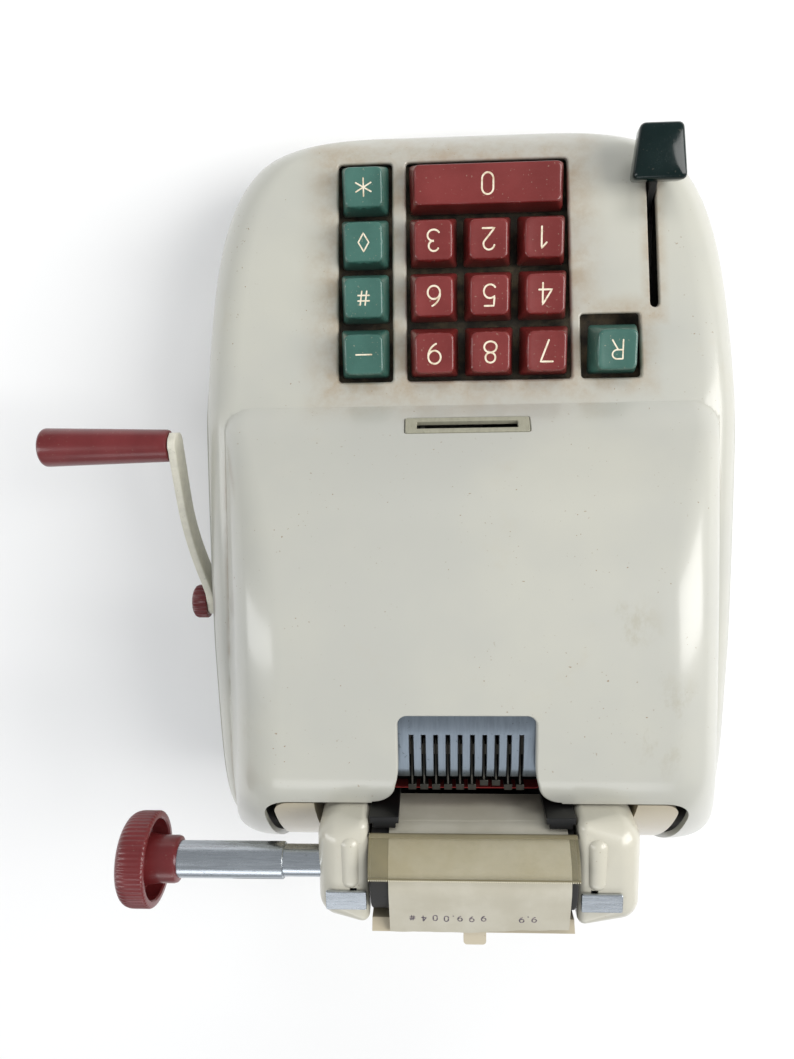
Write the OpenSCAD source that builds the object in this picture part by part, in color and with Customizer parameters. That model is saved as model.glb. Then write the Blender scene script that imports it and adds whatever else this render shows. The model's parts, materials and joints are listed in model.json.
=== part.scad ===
// Ten-key printing adding machine with a hand crank.
// X runs across the machine (+X is the crank side), Y from the keyboard to
// the paper, Z up from the table.  All sizes are millimetres.

/* [Case] */
// Half width of the case at its belt, the widest line
case_half_w = 109; // [107:0.5:112]
// Middle of the case to its front face
case_front = 135; // [133:0.5:140]
// Middle of the case to its rear face
case_rear = 143; // [141:0.5:148]
// Height of the belt above the table
belt_z = 33; // [30:0.5:35]
// Lower edge of the case above the table
skirt_z = 5; // [4:0.5:7]
// How far the skirt tucks in below the belt
skirt_tuck = 3; // [1:0.5:4]
// Wall thickness of the casing shells
case_wall = 2.2; // [1.8:0.1:2.6]
// Lean of the case sides above the belt, in degrees
side_lean = 25; // [23:0.5:26]
// Radius of the edge between the sides and the top
edge_r = 19; // [16:0.5:21]
// Share of its width that the case loses towards the front
front_taper = 0.13; // [0.1:0.01:0.15]
// Squareness of the front corners in plan
front_square = 6; // [5:0.5:7]
// Squareness of the rear corners in plan
rear_square = 8; // [7:0.5:9]
// Step between the two casing shells along their seam
seam_step = 0.7; // [0.4:0.1:1]
// Height of the seam along the keyboard
seam_front_z = 30; // [28:0.5:32]
// Height of the seam along the hood
seam_rear_z = 73; // [70:0.5:75]

/* [Deck and hood] */
// Height of the keyboard deck at its front edge
deck_front_z = 49; // [48:0.5:50]
// Length of the round-over between front face and deck
deck_edge = 11; // [9:0.5:13]
// Slope of the keyboard deck, in degrees
deck_slope = 17.5; // [16.5:0.5:18]
// Crease where the hood rises from the deck
crease_y = -36; // [-37:0.5:-35]
// Softness of that crease
crease_soft = 3; // [1:0.5:4]
// Greatest height of the hood
hood_z = 127; // [126:0.5:130]
// Rear face of the case to the rear edge of the hood
hood_rear_in = 52; // [51:0.5:53]
// Rear edge of the hood to its highest line
crest_in = 11; // [7:1:15]
// Half width of the carriage notch
notch_half_w = 72; // [70:0.5:74]
// Floor of the carriage notch
notch_z = 60; // [58:1:62]

/* [Keyboard] */
// Pitch of the keys in both directions
key_pitch = 19.4; // [19.2:0.1:19.6]
// Base of a key cap
key_base = 17; // [16.5:0.1:17.3]
// Touched face of a key cap
key_top = 13.6; // [13:0.1:14.4]
// Height of a key cap
key_h = 11.5; // [11:0.1:12]
// How far the caps start below the deck
key_sink = 4; // [3.5:0.1:4.5]
// Travel of a key
key_travel = 4; // [3:0.1:4.2]
// Depth of the dished key faces
key_dish = 0.8; // [0.4:0.1:1]
// Middle column of the digit keys
digits_x = -7.6; // [-8:0.1:-7]
// Column of the function keys
function_x = 36.5; // [36:0.1:37]
// Column of the repeat key
repeat_x = -51.2; // [-51.5:0.1:-50.5]
// Row of the 4-5-6 keys
middle_row_y = -74.3; // [-74.6:0.1:-74]
// Gap between the caps and the edge of their opening
key_gap = 1.3; // [1:0.1:1.6]
// Extra room in front of and inboard of the repeat key
repeat_room = 2.6; // [2:0.1:3]
// Key stem across the machine
stem_w = 5; // [4:0.1:6]
// Key stem along the machine
stem_t = 2; // [1.6:0.1:2.6]
// Clearance round a stem in its guides
stem_gap = 0.4; // [0.3:0.05:0.5]
// Lower end of the key stems
stem_foot_z = 22; // [21:0.5:24]
// Height of the lower stem guide
guide_z = 27; // [26:0.5:28]
// Thickness of the guide plates
guide_t = 1.5; // [1.2:0.1:1.8]
// Depth of the key bed under the deck
bed_drop = 11.5; // [11:0.1:12]

/* [Function lever] */
// Plane of the lever
lever_x = -66.5; // [-67:0.5:-66]
// Lever pivot along the machine
lever_y = -79.5; // [-80:0.5:-79]
// Lever pivot above the table
lever_z = 19; // [18.5:0.5:20]
// Lean of the lever towards the operator at rest, in degrees
lever_lean = 44; // [43:0.5:45]
// Swing of the lever, in degrees
lever_swing = 52; // [48:1:53]
// Thickness of the lever bar
lever_t = 2.4; // [2:0.1:2.6]
// Width of the lever bar
lever_w = 4.5; // [4:0.1:5]
// Lever pivot to the underside of the knob
lever_reach = 51; // [50.5:0.5:53]
// Height of the lever knob
lever_knob_h = 10; // [9:0.5:12]
// Width of the lever knob at the stem
lever_knob_wide = 19; // [18:0.5:20]
// Width of the lever knob at its tip
lever_knob_narrow = 14.7; // [13.5:0.5:15.5]
// Length of the lever knob
lever_knob_len = 18.5; // [17:0.5:19]
// Width of the slot for the lever
lever_slot_w = 3.4; // [3.2:0.1:4]

/* [Indicator and type window] */
// Middle of the indicator window across the machine
window_x = 0.7; // [0:0.1:2]
// Width of the indicator frame
window_w = 43.5; // [42:0.5:45]
// Height of the indicator frame along the hood
window_h = 7.4; // [7:0.1:8]
// Width of the slot in the frame
window_slot_w = 35; // [33:0.5:36]
// Height of the slot in the frame
window_slot_h = 3.2; // [3:0.1:3.6]
// Middle of the type window across the machine
type_x = 2.7; // [2:0.1:3.4]
// Width of the type window
type_w = 44.5; // [44:0.5:46]
// Length of the type window, from the rear edge of the hood
type_len = 35; // [34:0.5:36]
// Pitch of the printing columns
type_pitch = 4; // [3.9:0.1:4.1]
// Printing columns
type_count = 10; // [8:1:10]
// Width of a slot in the type comb
comb_slot_w = 1.25; // [1.2:0.05:1.4]
// Length of the type comb behind the front edge of its window
comb_len = 18; // [17:0.5:18.5]
// Length of the slots in the type comb
comb_slot_len = 12; // [11:0.5:13]
// Thickness of the type comb
comb_t = 1.2; // [1:0.1:1.4]
// Thickness of a type bar
bar_t = 0.6; // [0.5:0.05:0.6]
// Rise of the type bars when printing
bar_rise = 4; // [3:0.5:5]

/* [Carriage] */
// Rear edge of the hood to the platen axis
platen_back = 20.5; // [20:0.1:21]
// Platen axis above the table
platen_z = 125; // [124.5:0.1:125.5]
// Platen radius
platen_r = 14.2; // [13.8:0.1:14.4]
// Half length of the platen
platen_half = 33; // [32:0.1:33.2]
// Middle of the platen across the machine
platen_x = 1.1; // [1:0.05:1.2]
// Radius of the platen shaft
shaft_r = 3; // [2.6:0.1:3.2]
// Running clearance of shafts in their bearings
run_gap = 0.05; // [0.03:0.01:0.08]
// Inner face of the end cover on the crank side
cover_in_right = 35; // [34.8:0.1:35.4]
// Inner face of the other end cover
cover_in_left = 32.8; // [32.6:0.1:33.2]
// Outer face of the end cover on the crank side
cover_out_right = 52; // [51:0.1:52.6]
// Outer face of the other end cover
cover_out_left = 53.4; // [52:0.1:53.8]
// Gap between the hood and the end covers
cover_gap = 0.8; // [0.5:0.1:1.2]
// Platen axis to the rear face of the end covers
cover_rear = 19; // [18:0.1:19.5]
// Top of the end covers
cover_top_z = 135; // [134.5:0.1:135.5]
// Radius of the outer edges of the end covers
cover_r = 7; // [5:0.5:7.5]
// Wall of the end covers
cover_wall = 1.8; // [1.5:0.1:2]
// Thickness of the carriage frame
frame_t = 1.6; // [1.4:0.1:1.8]
// Height of the carriage floor
carriage_z = 88; // [87:0.5:89]
// Width of the paper strip
paper_w = 58; // [56:0.5:58]
// Middle of the paper strip across the machine
paper_x = -0.8; // [-1:0.1:0]
// Thickness of the paper strip
paper_t = 0.3; // [0.2:0.05:0.35]
// Gap of the tear guard over the platen
guard_gap = 1.6; // [1.4:0.1:1.8]
// Thickness of the tear guard
guard_t = 0.8; // [0.6:0.1:1]
// Swing of the tear guard, in degrees
guard_swing = 40; // [30:1:40]
// Length of a release tab along the machine
tab_len = 6.4; // [6:0.1:7]
// Width of a release tab
tab_w = 13.2; // [12:0.1:13.5]
// Swing of a release tab, in degrees
tab_swing = 12; // [9:1:12]

/* [Platen knob] */
// Radius of the platen knob
knob_r = 15.6; // [15:0.1:16]
// Length of the platen knob's rim
knob_len = 15; // [14:0.5:17]
// Outer face of the platen knob
knob_out_x = 122.8; // [121:0.1:124]
// Ribs round the platen knob
knob_ribs = 44; // [30:1:50]
// Radius of the chrome sleeve
sleeve_r = 6; // [5.8:0.1:6.3]
// Radius of the thinner tube inside the sleeve
tube_r = 5.2; // [5:0.1:5.4]
// Inner end of the chrome sleeve
sleeve_in_x = 64; // [62:0.1:66]

/* [Crank] */
// Crank axis along the machine
crank_y = 43.5; // [42:0.5:45]
// Crank axis above the table
crank_z = 50; // [49:0.5:51]
// Crank axis to the grip
crank_len = 68.6; // [67:0.1:70]
// Angle of the crank arm above level at rest, in degrees
crank_rest = 14.3; // [13:0.1:16]
// Swing of the crank, in degrees
crank_swing = 40; // [35:1:40]
// Radius of the crank shaft
crank_shaft_r = 4; // [3.6:0.1:4.2]
// Thickness of the crank arm
arm_t = 3; // [2.6:0.1:3.2]
// Width of the crank arm
arm_w = 7.5; // [7:0.1:9]
// Gap between the case and the arm at the crank axis
arm_gap = 4.1; // [4:0.1:4.5]
// Outward bend of the arm between hub and grip
arm_bend = 4.7; // [4.4:0.1:5]
// Distance from the hub over which the arm bends
arm_bend_end = 33; // [31:0.5:34]
// Radius of the ribbed hub knob
hub_r = 6.8; // [6.5:0.1:7]
// Length of the ribbed hub knob
hub_len = 7.2; // [6.5:0.1:8]
// Ribs round the hub knob
hub_ribs = 20; // [14:1:24]
// Length of the grip
grip_len = 49; // [46:0.5:51]
// Radius of the grip at the arm
grip_r_in = 6; // [5.6:0.1:6.2]
// Radius of the grip at its end
grip_r_out = 7.3; // [7:0.1:7.8]
// Radius of the grip's pin
grip_pin_r = 2; // [1.8:0.1:2.4]

/* [Base and mechanism] */
// Radius of a rubber foot
foot_r = 9; // [8:0.5:10]
// Height of the rubber feet
foot_h = 6; // [5.5:0.1:6]
// Feet from the middle, across
foot_x = 72; // [68:1:74]
// Front feet from the middle
foot_front_y = 104; // [100:1:106]
// Rear face of the case to the rear feet
foot_rear_in = 25; // [23:1:29]
// Thickness of the base plate
base_t = 1.6; // [1.2:0.1:2]
// Gap between the base plate and the case
base_gap = 0.8; // [0.7:0.1:1.2]
// Plane of the steel side frames
side_frame_x = 74; // [73:0.5:74.5]
// Thickness of the side frames
side_frame_t = 2; // [1.6:0.1:2.4]
// Gap between the side frames and the deck
side_frame_drop = 6; // [5:0.5:6.5]
// Radius of the tie rods
rod_r = 3; // [2.6:0.1:3.2]
// Height of the two carriage rods
rod_z = 40; // [39:0.5:41]
// Front carriage rod
rod_front_y = -22; // [-23:0.5:-21]
// Rear carriage rod
rod_rear_y = -2; // [-3:0.5:-1]
// Length of the pin carriage across the machine
pin_carriage_w = 46; // [44:1:48]
// Travel of the pin carriage
pin_travel = 31; // [28:0.5:31]
// Shaft of the number wheels along the machine
wheels_y = 24; // [23:0.5:25]
// Shaft of the number wheels above the table
wheels_z = 52; // [51:0.5:53]
// Radius of a number wheel
wheel_r = 12; // [11:0.5:13]
// Thickness of a number wheel
wheel_t = 2.4; // [2:0.1:2.8]
// Height of the ribbon deck
ribbon_deck_z = 92; // [91:0.5:93]
// Distance of the ribbon spools from the type window's middle
spool_dx = 46; // [45:0.5:47]
// Rear edge of the hood to the ribbon spools
spool_in = 21; // [20:0.5:22]
// Radius of a ribbon spool
spool_r = 13; // [12:0.5:13.5]
// Height of a ribbon spool
spool_h = 12; // [11:0.5:13]
// Radius of the wound ribbon
ribbon_wound_r = 9; // [7:0.5:10]

/* [Hidden] */
$fn = 48;
ROUND = 32;       // facets of the circles inside a hull
ARC_STEPS = 6;    // facets of the rounded edge of the case
HOOD_POWER = 3.1; // how early the hood levels out
REAR_POWER = 1.6; // fullness of the rear slope
FRONT_POWER = 2.2;
FAR = 400;        // longer than the machine
TOUCH = 0.02;     // gap of parts that are fixed in each other
FREE = 0.3;       // gap of parts that pass each other

// Places along the machine that go with the rear of the case
hood_rear_y = case_rear - hood_rear_in;
hood_crest_y = hood_rear_y - crest_in;
type_front_y = hood_rear_y - type_len;
spool_y = hood_rear_y - spool_in;
platen_y = hood_rear_y + platen_back;
cover_front_y = hood_rear_y + cover_gap;
cover_rear_y = platen_y + cover_rear;
foot_rear_y = case_rear - foot_rear_in;

// Case form
function sup(t, n) = pow(max(0, 1 - pow(abs(t), n)), 1 / n);
function case_half(y, d) = y < 0
  ? (case_half_w - d) * sup(y / (case_front - d), front_square)
    * (1 - front_taper * pow(-y / case_front, 1.5))
  : (case_half_w - d) * sup(y / (case_rear - d), rear_square);
function deck_z(y) = deck_front_z + (y + case_front - deck_edge) * tan(deck_slope);
crease_z = deck_z(crease_y);
function hood_at(y) = hood_z - (hood_z - crease_z)
  * pow(max(0, hood_crest_y - y) / (hood_crest_y - crease_y), HOOD_POWER);
function soft_max(a, b, s) = (a + b + sqrt((a - b) * (a - b) + s * s)) / 2;
function rise(u, p) = pow(max(0, 1 - pow(max(0, u), p)), 1 / p);
rear_low_z = belt_z + 9;
function case_top(y, d) =
  y > hood_crest_y
  ? rear_low_z + (hood_z - d - rear_low_z)
    * rise((y - hood_crest_y) / (case_rear - d - hood_crest_y), REAR_POWER)
  : let (full = soft_max(deck_z(y), hood_at(y), crease_soft) - d * 1.05,
         u = 1 - (y + case_front - d) / deck_edge)
    u > 0 ? belt_z + 1 + (full - belt_z - 1) * rise(u, FRONT_POWER) : full;
function edge_radius(h, d) = min(edge_r - d, 0.95 * (h - belt_z) / (1 - sin(side_lean)));
function top_half(y, h, r, d) =
  max(0.5, case_half(y, d) - (r + (h - r - belt_z) * sin(side_lean)) / cos(side_lean));
function half_section(y, d) =
  let (w = case_half(y, d), h = case_top(y, d), r = edge_radius(h, d), xc = top_half(y, h, r, d))
  concat([[w - skirt_tuck, skirt_z - (d > 1 ? 1 : 0)], [w, belt_z]],
    [for (i = [0:ARC_STEPS]) let (a = side_lean + (90 - side_lean) * i / ARC_STEPS)
      [xc + r * cos(a), h - r + r * sin(a)]]);
function flip(p) = [for (i = [len(p) - 1:-1:0]) [-p[i][0], p[i][1]]];
function stations(d) = concat(
  [-(case_front - d) * 0.9995],
  [for (i = [1:8]) -(case_front - d) + deck_edge * (1 - cos(90 * i / 8))],
  [for (i = [1:5]) -case_front + deck_edge + (crease_y - 8 + case_front - deck_edge) * i / 5],
  [for (i = [1:10]) crease_y - 8 + 28 * i / 10],
  [for (i = [1:8]) crease_y + 20 + (hood_crest_y - crease_y - 20) * i / 8],
  [for (i = [1:12]) hood_crest_y + (case_rear - d - hood_crest_y) * sin(89.5 * i / 12)]);

module case_form(d) {
  ys = stations(d);
  rings = [for (y = ys) let (p = half_section(y, d)) concat(p, flip(p))];
  m = len(rings[0]);
  last = len(ys) - 1;
  pts = [for (i = [0:last]) for (p = rings[i]) [p[0], ys[i], p[1]]];
  sides = [for (i = [0:last - 1]) for (j = [0:m - 1])
    let (k = (j + 1) % m, a = i * m + j, b = i * m + k, c = (i + 1) * m + k, e = (i + 1) * m + j)
    each [[a, b, c], [a, c, e]]];
  front = [for (j = [m - 1:-1:0]) j];
  rear = [for (j = [0:m - 1]) last * m + j];
  polyhedron(pts, concat(sides, [front, rear]));
}

// Seam between the casing shells, as a height over Y
function smooth(u) = let (t = min(1, max(0, u))) t * t * (3 - 2 * t);
seam_start_y = -100;
seam_end_y = -25;
function seam_z(y) = seam_front_z
  + (seam_rear_z - seam_front_z) * smooth((y - seam_start_y) / (seam_end_y - seam_start_y));
seam_line = concat([[-FAR, seam_front_z]],
  [for (i = [0:12]) let (y = seam_start_y + (seam_end_y - seam_start_y) * i / 12) [y, seam_z(y)]],
  [[FAR, seam_rear_z]]);

// Extrudes a profile drawn in Y and Z across the machine, from x0 to x1
module across(x0, x1) {
  translate([x0, 0, 0]) rotate([90, 0, 90]) linear_extrude(x1 - x0) children();
}
// A cylinder along X
module rod(x0, x1, y, z, r) {
  translate([x0, y, z]) rotate([0, 90, 0]) cylinder(r = r, h = x1 - x0);
}
// A flat plate outline with rounded corners, hulled from four circles
module rounded(x0, x1, y0, y1, r) {
  hull() for (x = [x0 + r, x1 - r]) for (y = [y0 + r, y1 - r])
    translate([x, y]) circle(r = r, $fn = ROUND);
}
// A vertical cut with rounded corners
module well(x0, x1, y0, y1, r, z0, z1) {
  translate([0, 0, z0]) linear_extrude(z1 - z0) rounded(x0, x1, y0, y1, r);
}

// Keyboard layout: every key has a name, a place and a half width
row_y = [for (i = [-2:1]) middle_row_y + i * key_pitch];
digit_x = [for (i = [-1:1]) digits_x + i * key_pitch];
bar_half = key_pitch + key_base / 2;
cap_half = key_base / 2;
KEYS = [["key_0", digits_x, row_y[0], bar_half],
  ["key_1", digit_x[0], row_y[1], cap_half], ["key_2", digit_x[1], row_y[1], cap_half],
  ["key_3", digit_x[2], row_y[1], cap_half], ["key_4", digit_x[0], row_y[2], cap_half],
  ["key_5", digit_x[1], row_y[2], cap_half], ["key_6", digit_x[2], row_y[2], cap_half],
  ["key_7", digit_x[0], row_y[3], cap_half], ["key_8", digit_x[1], row_y[3], cap_half],
  ["key_9", digit_x[2], row_y[3], cap_half], ["key_star", function_x, row_y[0], cap_half],
  ["key_diamond", function_x, row_y[1], cap_half], ["key_hash", function_x, row_y[2], cap_half],
  ["key_minus", function_x, row_y[3], cap_half], ["key_repeat", repeat_x, row_y[3], cap_half]];
open_front = row_y[0] - cap_half - key_gap;
open_rear = row_y[3] + cap_half + key_gap;

// The block of space behind the hood and above the rear panel
module carriage_notch(side, z0) {
  well(-notch_half_w + side, notch_half_w - side, hood_rear_y + side, FAR / 2, 9, z0, FAR);
}

module top_case() {
  color([0.83, 0.82, 0.76]) difference() {
    intersection() {
      case_form(seam_step);
      across(-FAR, FAR) polygon(concat([for (p = seam_line) [p[0], p[1] + 0.2]],
        [[FAR, FAR], [-FAR, FAR]]));
    }
    case_form(seam_step + case_wall);
    well(digit_x[0] - cap_half - key_gap, digit_x[2] + cap_half + key_gap,
      open_front, open_rear, 1.2, belt_z, hood_z);
    well(function_x - cap_half - key_gap, function_x + cap_half + key_gap,
      open_front, open_rear, 1.2, belt_z, hood_z);
    well(repeat_x - cap_half - key_gap, repeat_x + cap_half + repeat_room,
      row_y[3] - cap_half - repeat_room - key_gap, open_rear, 1.2, belt_z, hood_z);
    well(lever_x - lever_slot_w / 2, lever_x + lever_slot_w / 2, slot_front_y, slot_rear_y,
      lever_slot_w / 2 - 0.1, belt_z, hood_z);
    indicator_place() translate([0, 0, -6])
      linear_extrude(12) rounded(-window_w / 2, window_w / 2, -window_h / 2, window_h / 2, 0.8);
    well(type_x - type_w / 2, type_x + type_w / 2, type_front_y, FAR / 2, 3, ribbon_deck_z + 20, FAR);
    carriage_notch(0, notch_z);
    notch_throat();
  }
}

// The type window flares to the rear, and its corners are rounded into the notch
throat_r = 8;
flare_y = type_front_y + 19;
flare = 1.2;
module notch_throat() {
  xe = type_w / 2 + flare;
  translate([type_x, 0, ribbon_deck_z + 20]) linear_extrude(FAR) hull() {
    translate([-type_w / 2 + 0.3, flare_y]) square([type_w - 0.6, 1]);
    translate([-xe, flare_y + 8]) square([2 * xe, FAR / 4]);
  }
  for (s = [-1, 1]) translate([type_x + s * xe, hood_rear_y, 0]) mirror([s < 0 ? 1 : 0, 0, 0])
    difference() {
      well(-1, throat_r, -throat_r, 1, 0.8, ribbon_deck_z + 20, FAR);
      translate([throat_r, -throat_r, 0]) cylinder(r = throat_r, h = FAR);
    }
}

module lower_case() {
  color([0.81, 0.79, 0.72]) difference() {
    union() {
      difference() {
        intersection() {
          case_form(0);
          across(-FAR, FAR) polygon(concat(seam_line, [[FAR, -FAR], [-FAR, -FAR]]));
        }
        case_form(case_wall);
      }
      for (s = [-1, 1]) for (y = boss_ys) case_boss(s, y);
    }
    carriage_notch(0, notch_z);
    rod(case_half_w / 2, FAR, crank_y, crank_z, crank_shaft_r + bush_wall + TOUCH);
    for (s = [-1, 1]) for (y = boss_ys)
      translate([s * boss_x(y), y, 0]) cylinder(r = screw_r + 0.05, h = base_top_z + 8, $fn = 24);
  }
}

// Bosses inside the skirt that take the base screws
boss_ys = [-70, 0, 70];
boss_r = 4;
screw_r = 1.5;
boss_h = 12;
base_z = foot_h;
base_top_z = base_z + base_t;
function boss_x(y) = case_half(y, case_wall) - skirt_tuck - boss_r + 1;
module case_boss(s, y) {
  translate([s * boss_x(y), y, base_top_z]) {
    linear_extrude(boss_h) hull() {
      circle(r = boss_r, $fn = ROUND);
      translate([s * (boss_r - 0.5), 0]) square([1, boss_r * 2], center = true);
    }
    linear_extrude(boss_h / 2) hull() {
      circle(r = boss_r, $fn = ROUND);
      translate([s * (boss_r - 0.5), 0]) square([1, boss_r * 3], center = true);
    }
  }
}

// Outline of the base plate: the inside of the skirt, less a gap
base_steps = 36;
function base_half(y) = case_half(y, case_wall + base_gap) - skirt_tuck;
base_line = let (f = case_front - case_wall - base_gap, r = case_rear - case_wall - base_gap)
  concat([for (i = [0:base_steps]) let (y = -f * 0.998 * cos(90 * i / base_steps)) [base_half(y), y]],
    [for (i = [1:base_steps]) let (y = r * 0.998 * sin(90 * i / base_steps)) [base_half(y), y]]);
module base_plate() {
  color([0.35, 0.36, 0.34]) difference() {
    translate([0, 0, base_z]) linear_extrude(base_t)
      polygon(concat(base_line, [for (i = [len(base_line) - 1:-1:0]) [-base_line[i][0], base_line[i][1]]]));
    for (s = [-1, 1]) for (y = boss_ys)
      translate([s * boss_x(y), y, base_z - 1]) cylinder(r = screw_r + 0.1, h = base_t + 2);
    for (p = foot_places) translate([p[0], p[1], base_z - 1]) cylinder(r = screw_r + 0.1, h = base_t + 2);
  }
}

foot_places = [for (s = [-1, 1]) for (y = [-foot_front_y, foot_rear_y]) [s * foot_x, y]];
module rubber_feet() {
  color([0.08, 0.08, 0.08]) for (p = foot_places) translate([p[0], p[1], 0]) difference() {
    rotate_extrude() polygon([[0, 0], [foot_r - 2.4, 0], [foot_r - 1, 0.8], [foot_r, foot_h], [0, foot_h]]);
    translate([0, 0, 2]) cylinder(r = screw_r + 0.1, h = foot_h);
    translate([0, 0, -1]) cylinder(r = 3.6, h = 3);
  }
}

// Screws: one through each foot and one into each boss
module screw(length, head_r) {
  cylinder(r = head_r, h = 1.2);
  translate([0, 0, 1.2]) cylinder(r = screw_r, h = length);
}
module base_screws() {
  color([0.6, 0.6, 0.58]) {
    for (p = foot_places) translate([p[0], p[1], 0.8 - TOUCH]) screw(foot_h + base_t + 0.5, 3);
    for (s = [-1, 1]) for (y = boss_ys)
      translate([s * boss_x(y), y, base_z - 1.2]) screw(base_t + 7, 3);
  }
}

// Inner cover behind the hood, sloping down to the rear
panel_gap = 2.6;
panel_t = 1.6;
panel_drop = 4.5;
edge_fall = 5;    // how much lower the form lies near its side edges
panel_y0 = hood_rear_y + panel_gap;
panel_run = case_rear - case_wall - 3.5 - panel_y0;
panel_top = [for (i = [0:8]) let (y = panel_y0 + panel_run * i / 8)
  [y, max(notch_z + 2.5, case_top(y, 0) - panel_drop - edge_fall)]];
cheek_z = carriage_z + frame_t + TOUCH;
panel_open_half = max(cover_out_right, cover_out_left) + 0.9;
module rear_panel() {
  color([0.82, 0.78, 0.68]) {
    intersection() {
      across(-notch_half_w, notch_half_w) polygon(concat(panel_top,
        [for (i = [len(panel_top) - 1:-1:0]) [panel_top[i][0] - panel_t * 0.7, panel_top[i][1] - panel_t]]));
      difference() {
        well(-notch_half_w + panel_gap, notch_half_w - panel_gap, hood_rear_y + 1,
          case_rear - case_wall - 2, 7, notch_z, hood_z);
        translate([-panel_open_half, hood_rear_y - 5, 0])
          cube([2 * panel_open_half, cover_rear_y + 2.5 - hood_rear_y + 5, FAR]);
      }
    }
    for (x = [-panel_open_half - panel_t, panel_open_half]) across(x, x + panel_t)
      polygon([[panel_top[0][0] + 2, cheek_z], [panel_top[3][0], cheek_z],
        [panel_top[3][0], panel_top[3][1] - 1], [panel_top[1][0], panel_top[1][1] - 1],
        [panel_top[0][0] + 2, panel_top[1][1] - 1]]);
  }
}

// Side frames: steel plates on the base, under the deck and inside the hood
wing_y = platen_y - 7.5;          // rear end of the carriage floor's wings
ribbon_deck_y = spool_y - 17;     // front edge of the ribbon deck
frame_front = 23 - case_front;
frame_rear = case_rear - 25;
frame_out_x = side_frame_x + side_frame_t;
function roof_z(x, y, d) = let (w = case_half(y, d), h = case_top(y, d), r = edge_radius(h, d),
    xc = max(0.5, w - (r + (h - r - belt_z) * sin(side_lean)) / cos(side_lean)))
  x <= xc ? h
  : x <= xc + r * cos(side_lean) ? h - r + sqrt(r * r - (x - xc) * (x - xc))
  : belt_z + (w - x) / tan(side_lean);
function frame_z(y) = min(ribbon_deck_z, roof_z(frame_out_x, y, case_wall) - side_frame_drop);
frame_line = concat([[frame_front, base_top_z], [frame_rear, base_top_z], [frame_rear, notch_z - 6],
    [wing_y, carriage_z], [hood_rear_y - 1, carriage_z], [hood_rear_y - 1, ribbon_deck_z]],
  [for (i = [0:8]) let (y = ribbon_deck_y - 1 + (frame_front - ribbon_deck_y + 1) * i / 8) [y, frame_z(y)]]);
module side_frame(s) {
  x0 = s > 0 ? side_frame_x : -side_frame_x - side_frame_t;
  color([0.5, 0.5, 0.48]) difference() {
    across(x0, x0 + side_frame_t) polygon(frame_line);
    rod(x0 - 1, x0 + side_frame_t + 1, wheels_y, wheels_z, shaft_r + run_gap);
    if (s > 0) rod(x0 - 1, x0 + side_frame_t + 1, crank_y, crank_z, crank_shaft_r + run_gap);
    if (s < 0) rod(x0 - 1, x0 + side_frame_t + 1, lever_y, lever_z, shaft_r + TOUCH);
  }
}
module side_frame_right() { side_frame(1); }
module side_frame_left() { side_frame(-1); }

rod_places = [[rod_front_y, rod_z], [rod_rear_y, rod_z], [frame_front + 4, 16], [frame_rear - 18, 30]];
module tie_rods() {
  color([0.7, 0.7, 0.68]) for (p = rod_places) rod(-side_frame_x, side_frame_x, p[0], p[1], rod_r);
}

// Key bed: a dark plate parallel to the deck with a hole for every stem
bed_x0 = repeat_x - cap_half - 5;
bed_x1 = function_x + cap_half + 5;
function bed_z(y) = deck_z(y) - bed_drop;
module stem_holes(gap) {
  for (k = KEYS) for (x = stem_xs(k)) translate([k[1] + x, k[2], 0])
    cube([stem_w + 2 * gap, stem_t + 2 * gap, FAR], center = true);
}
function stem_xs(k) = k[3] > cap_half ? [-key_pitch, key_pitch] : [0];
module key_bed() {
  y0 = open_front - 1;
  y1 = open_rear + 2;
  color([0.24, 0.23, 0.19]) difference() {
    union() {
      across(bed_x0, bed_x1) polygon([[y0, bed_z(y0)], [y1, bed_z(y1)], [y1, bed_z(y1) - guide_t],
        [y0, bed_z(y0) - guide_t]]);
      for (x = [bed_x0, bed_x1 - guide_t]) across(x, x + guide_t)
        polygon([[y0, guide_z], [y1, guide_z], [y1, bed_z(y1) - guide_t / 2], [y0, bed_z(y0) - guide_t / 2]]);
    }
    stem_holes(stem_gap);
  }
}
module stem_guide() {
  color([0.55, 0.55, 0.52]) difference() {
    union() {
      translate([-side_frame_x, open_front - 1, guide_z - guide_t])
        cube([2 * side_frame_x, open_rear - open_front + 3, guide_t]);
    }
    stem_holes(stem_gap);
    translate([lever_x - 3.5, open_front - 2, 0])
      cube([3.5 + lever_t / 2 + FREE, lever_y + 10 - open_front, FAR]);
  }
}

// A key: a dished cap on its own flat stem
function cap_z(y) = deck_z(y) - key_sink;
module key(k) {
  w0 = k[3];
  w1 = k[3] - (key_base - key_top) / 2;
  l0 = key_base / 2;
  l1 = key_top / 2;
  z = cap_z(k[2]);
  dish_r = (l1 * l1 + key_dish * key_dish) / (2 * key_dish);
  translate([k[1], k[2], z]) {
    difference() {
      hull() {
        linear_extrude(1) rounded(-w0, w0, -l0, l0, 1.2);
        translate([0, 0, key_h - 0.6]) linear_extrude(0.6) rounded(-w1, w1, -l1, l1, 2);
      }
      rod(-w0 - 1, w0 + 1, 0, key_h + dish_r - key_dish, dish_r, $fn = 96);
    }
    for (x = stem_xs(k)) translate([x - stem_w / 2, -stem_t / 2, stem_foot_z - z])
      cube([stem_w, stem_t, z - stem_foot_z + 2]);
  }
}
RED = [0.55, 0.19, 0.17];
GREEN = [0.25, 0.42, 0.37];
module key_0() { color(RED) key(KEYS[0]); }
module key_1() { color(RED) key(KEYS[1]); }
module key_2() { color(RED) key(KEYS[2]); }
module key_3() { color(RED) key(KEYS[3]); }
module key_4() { color(RED) key(KEYS[4]); }
module key_5() { color(RED) key(KEYS[5]); }
module key_6() { color(RED) key(KEYS[6]); }
module key_7() { color(RED) key(KEYS[7]); }
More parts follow.
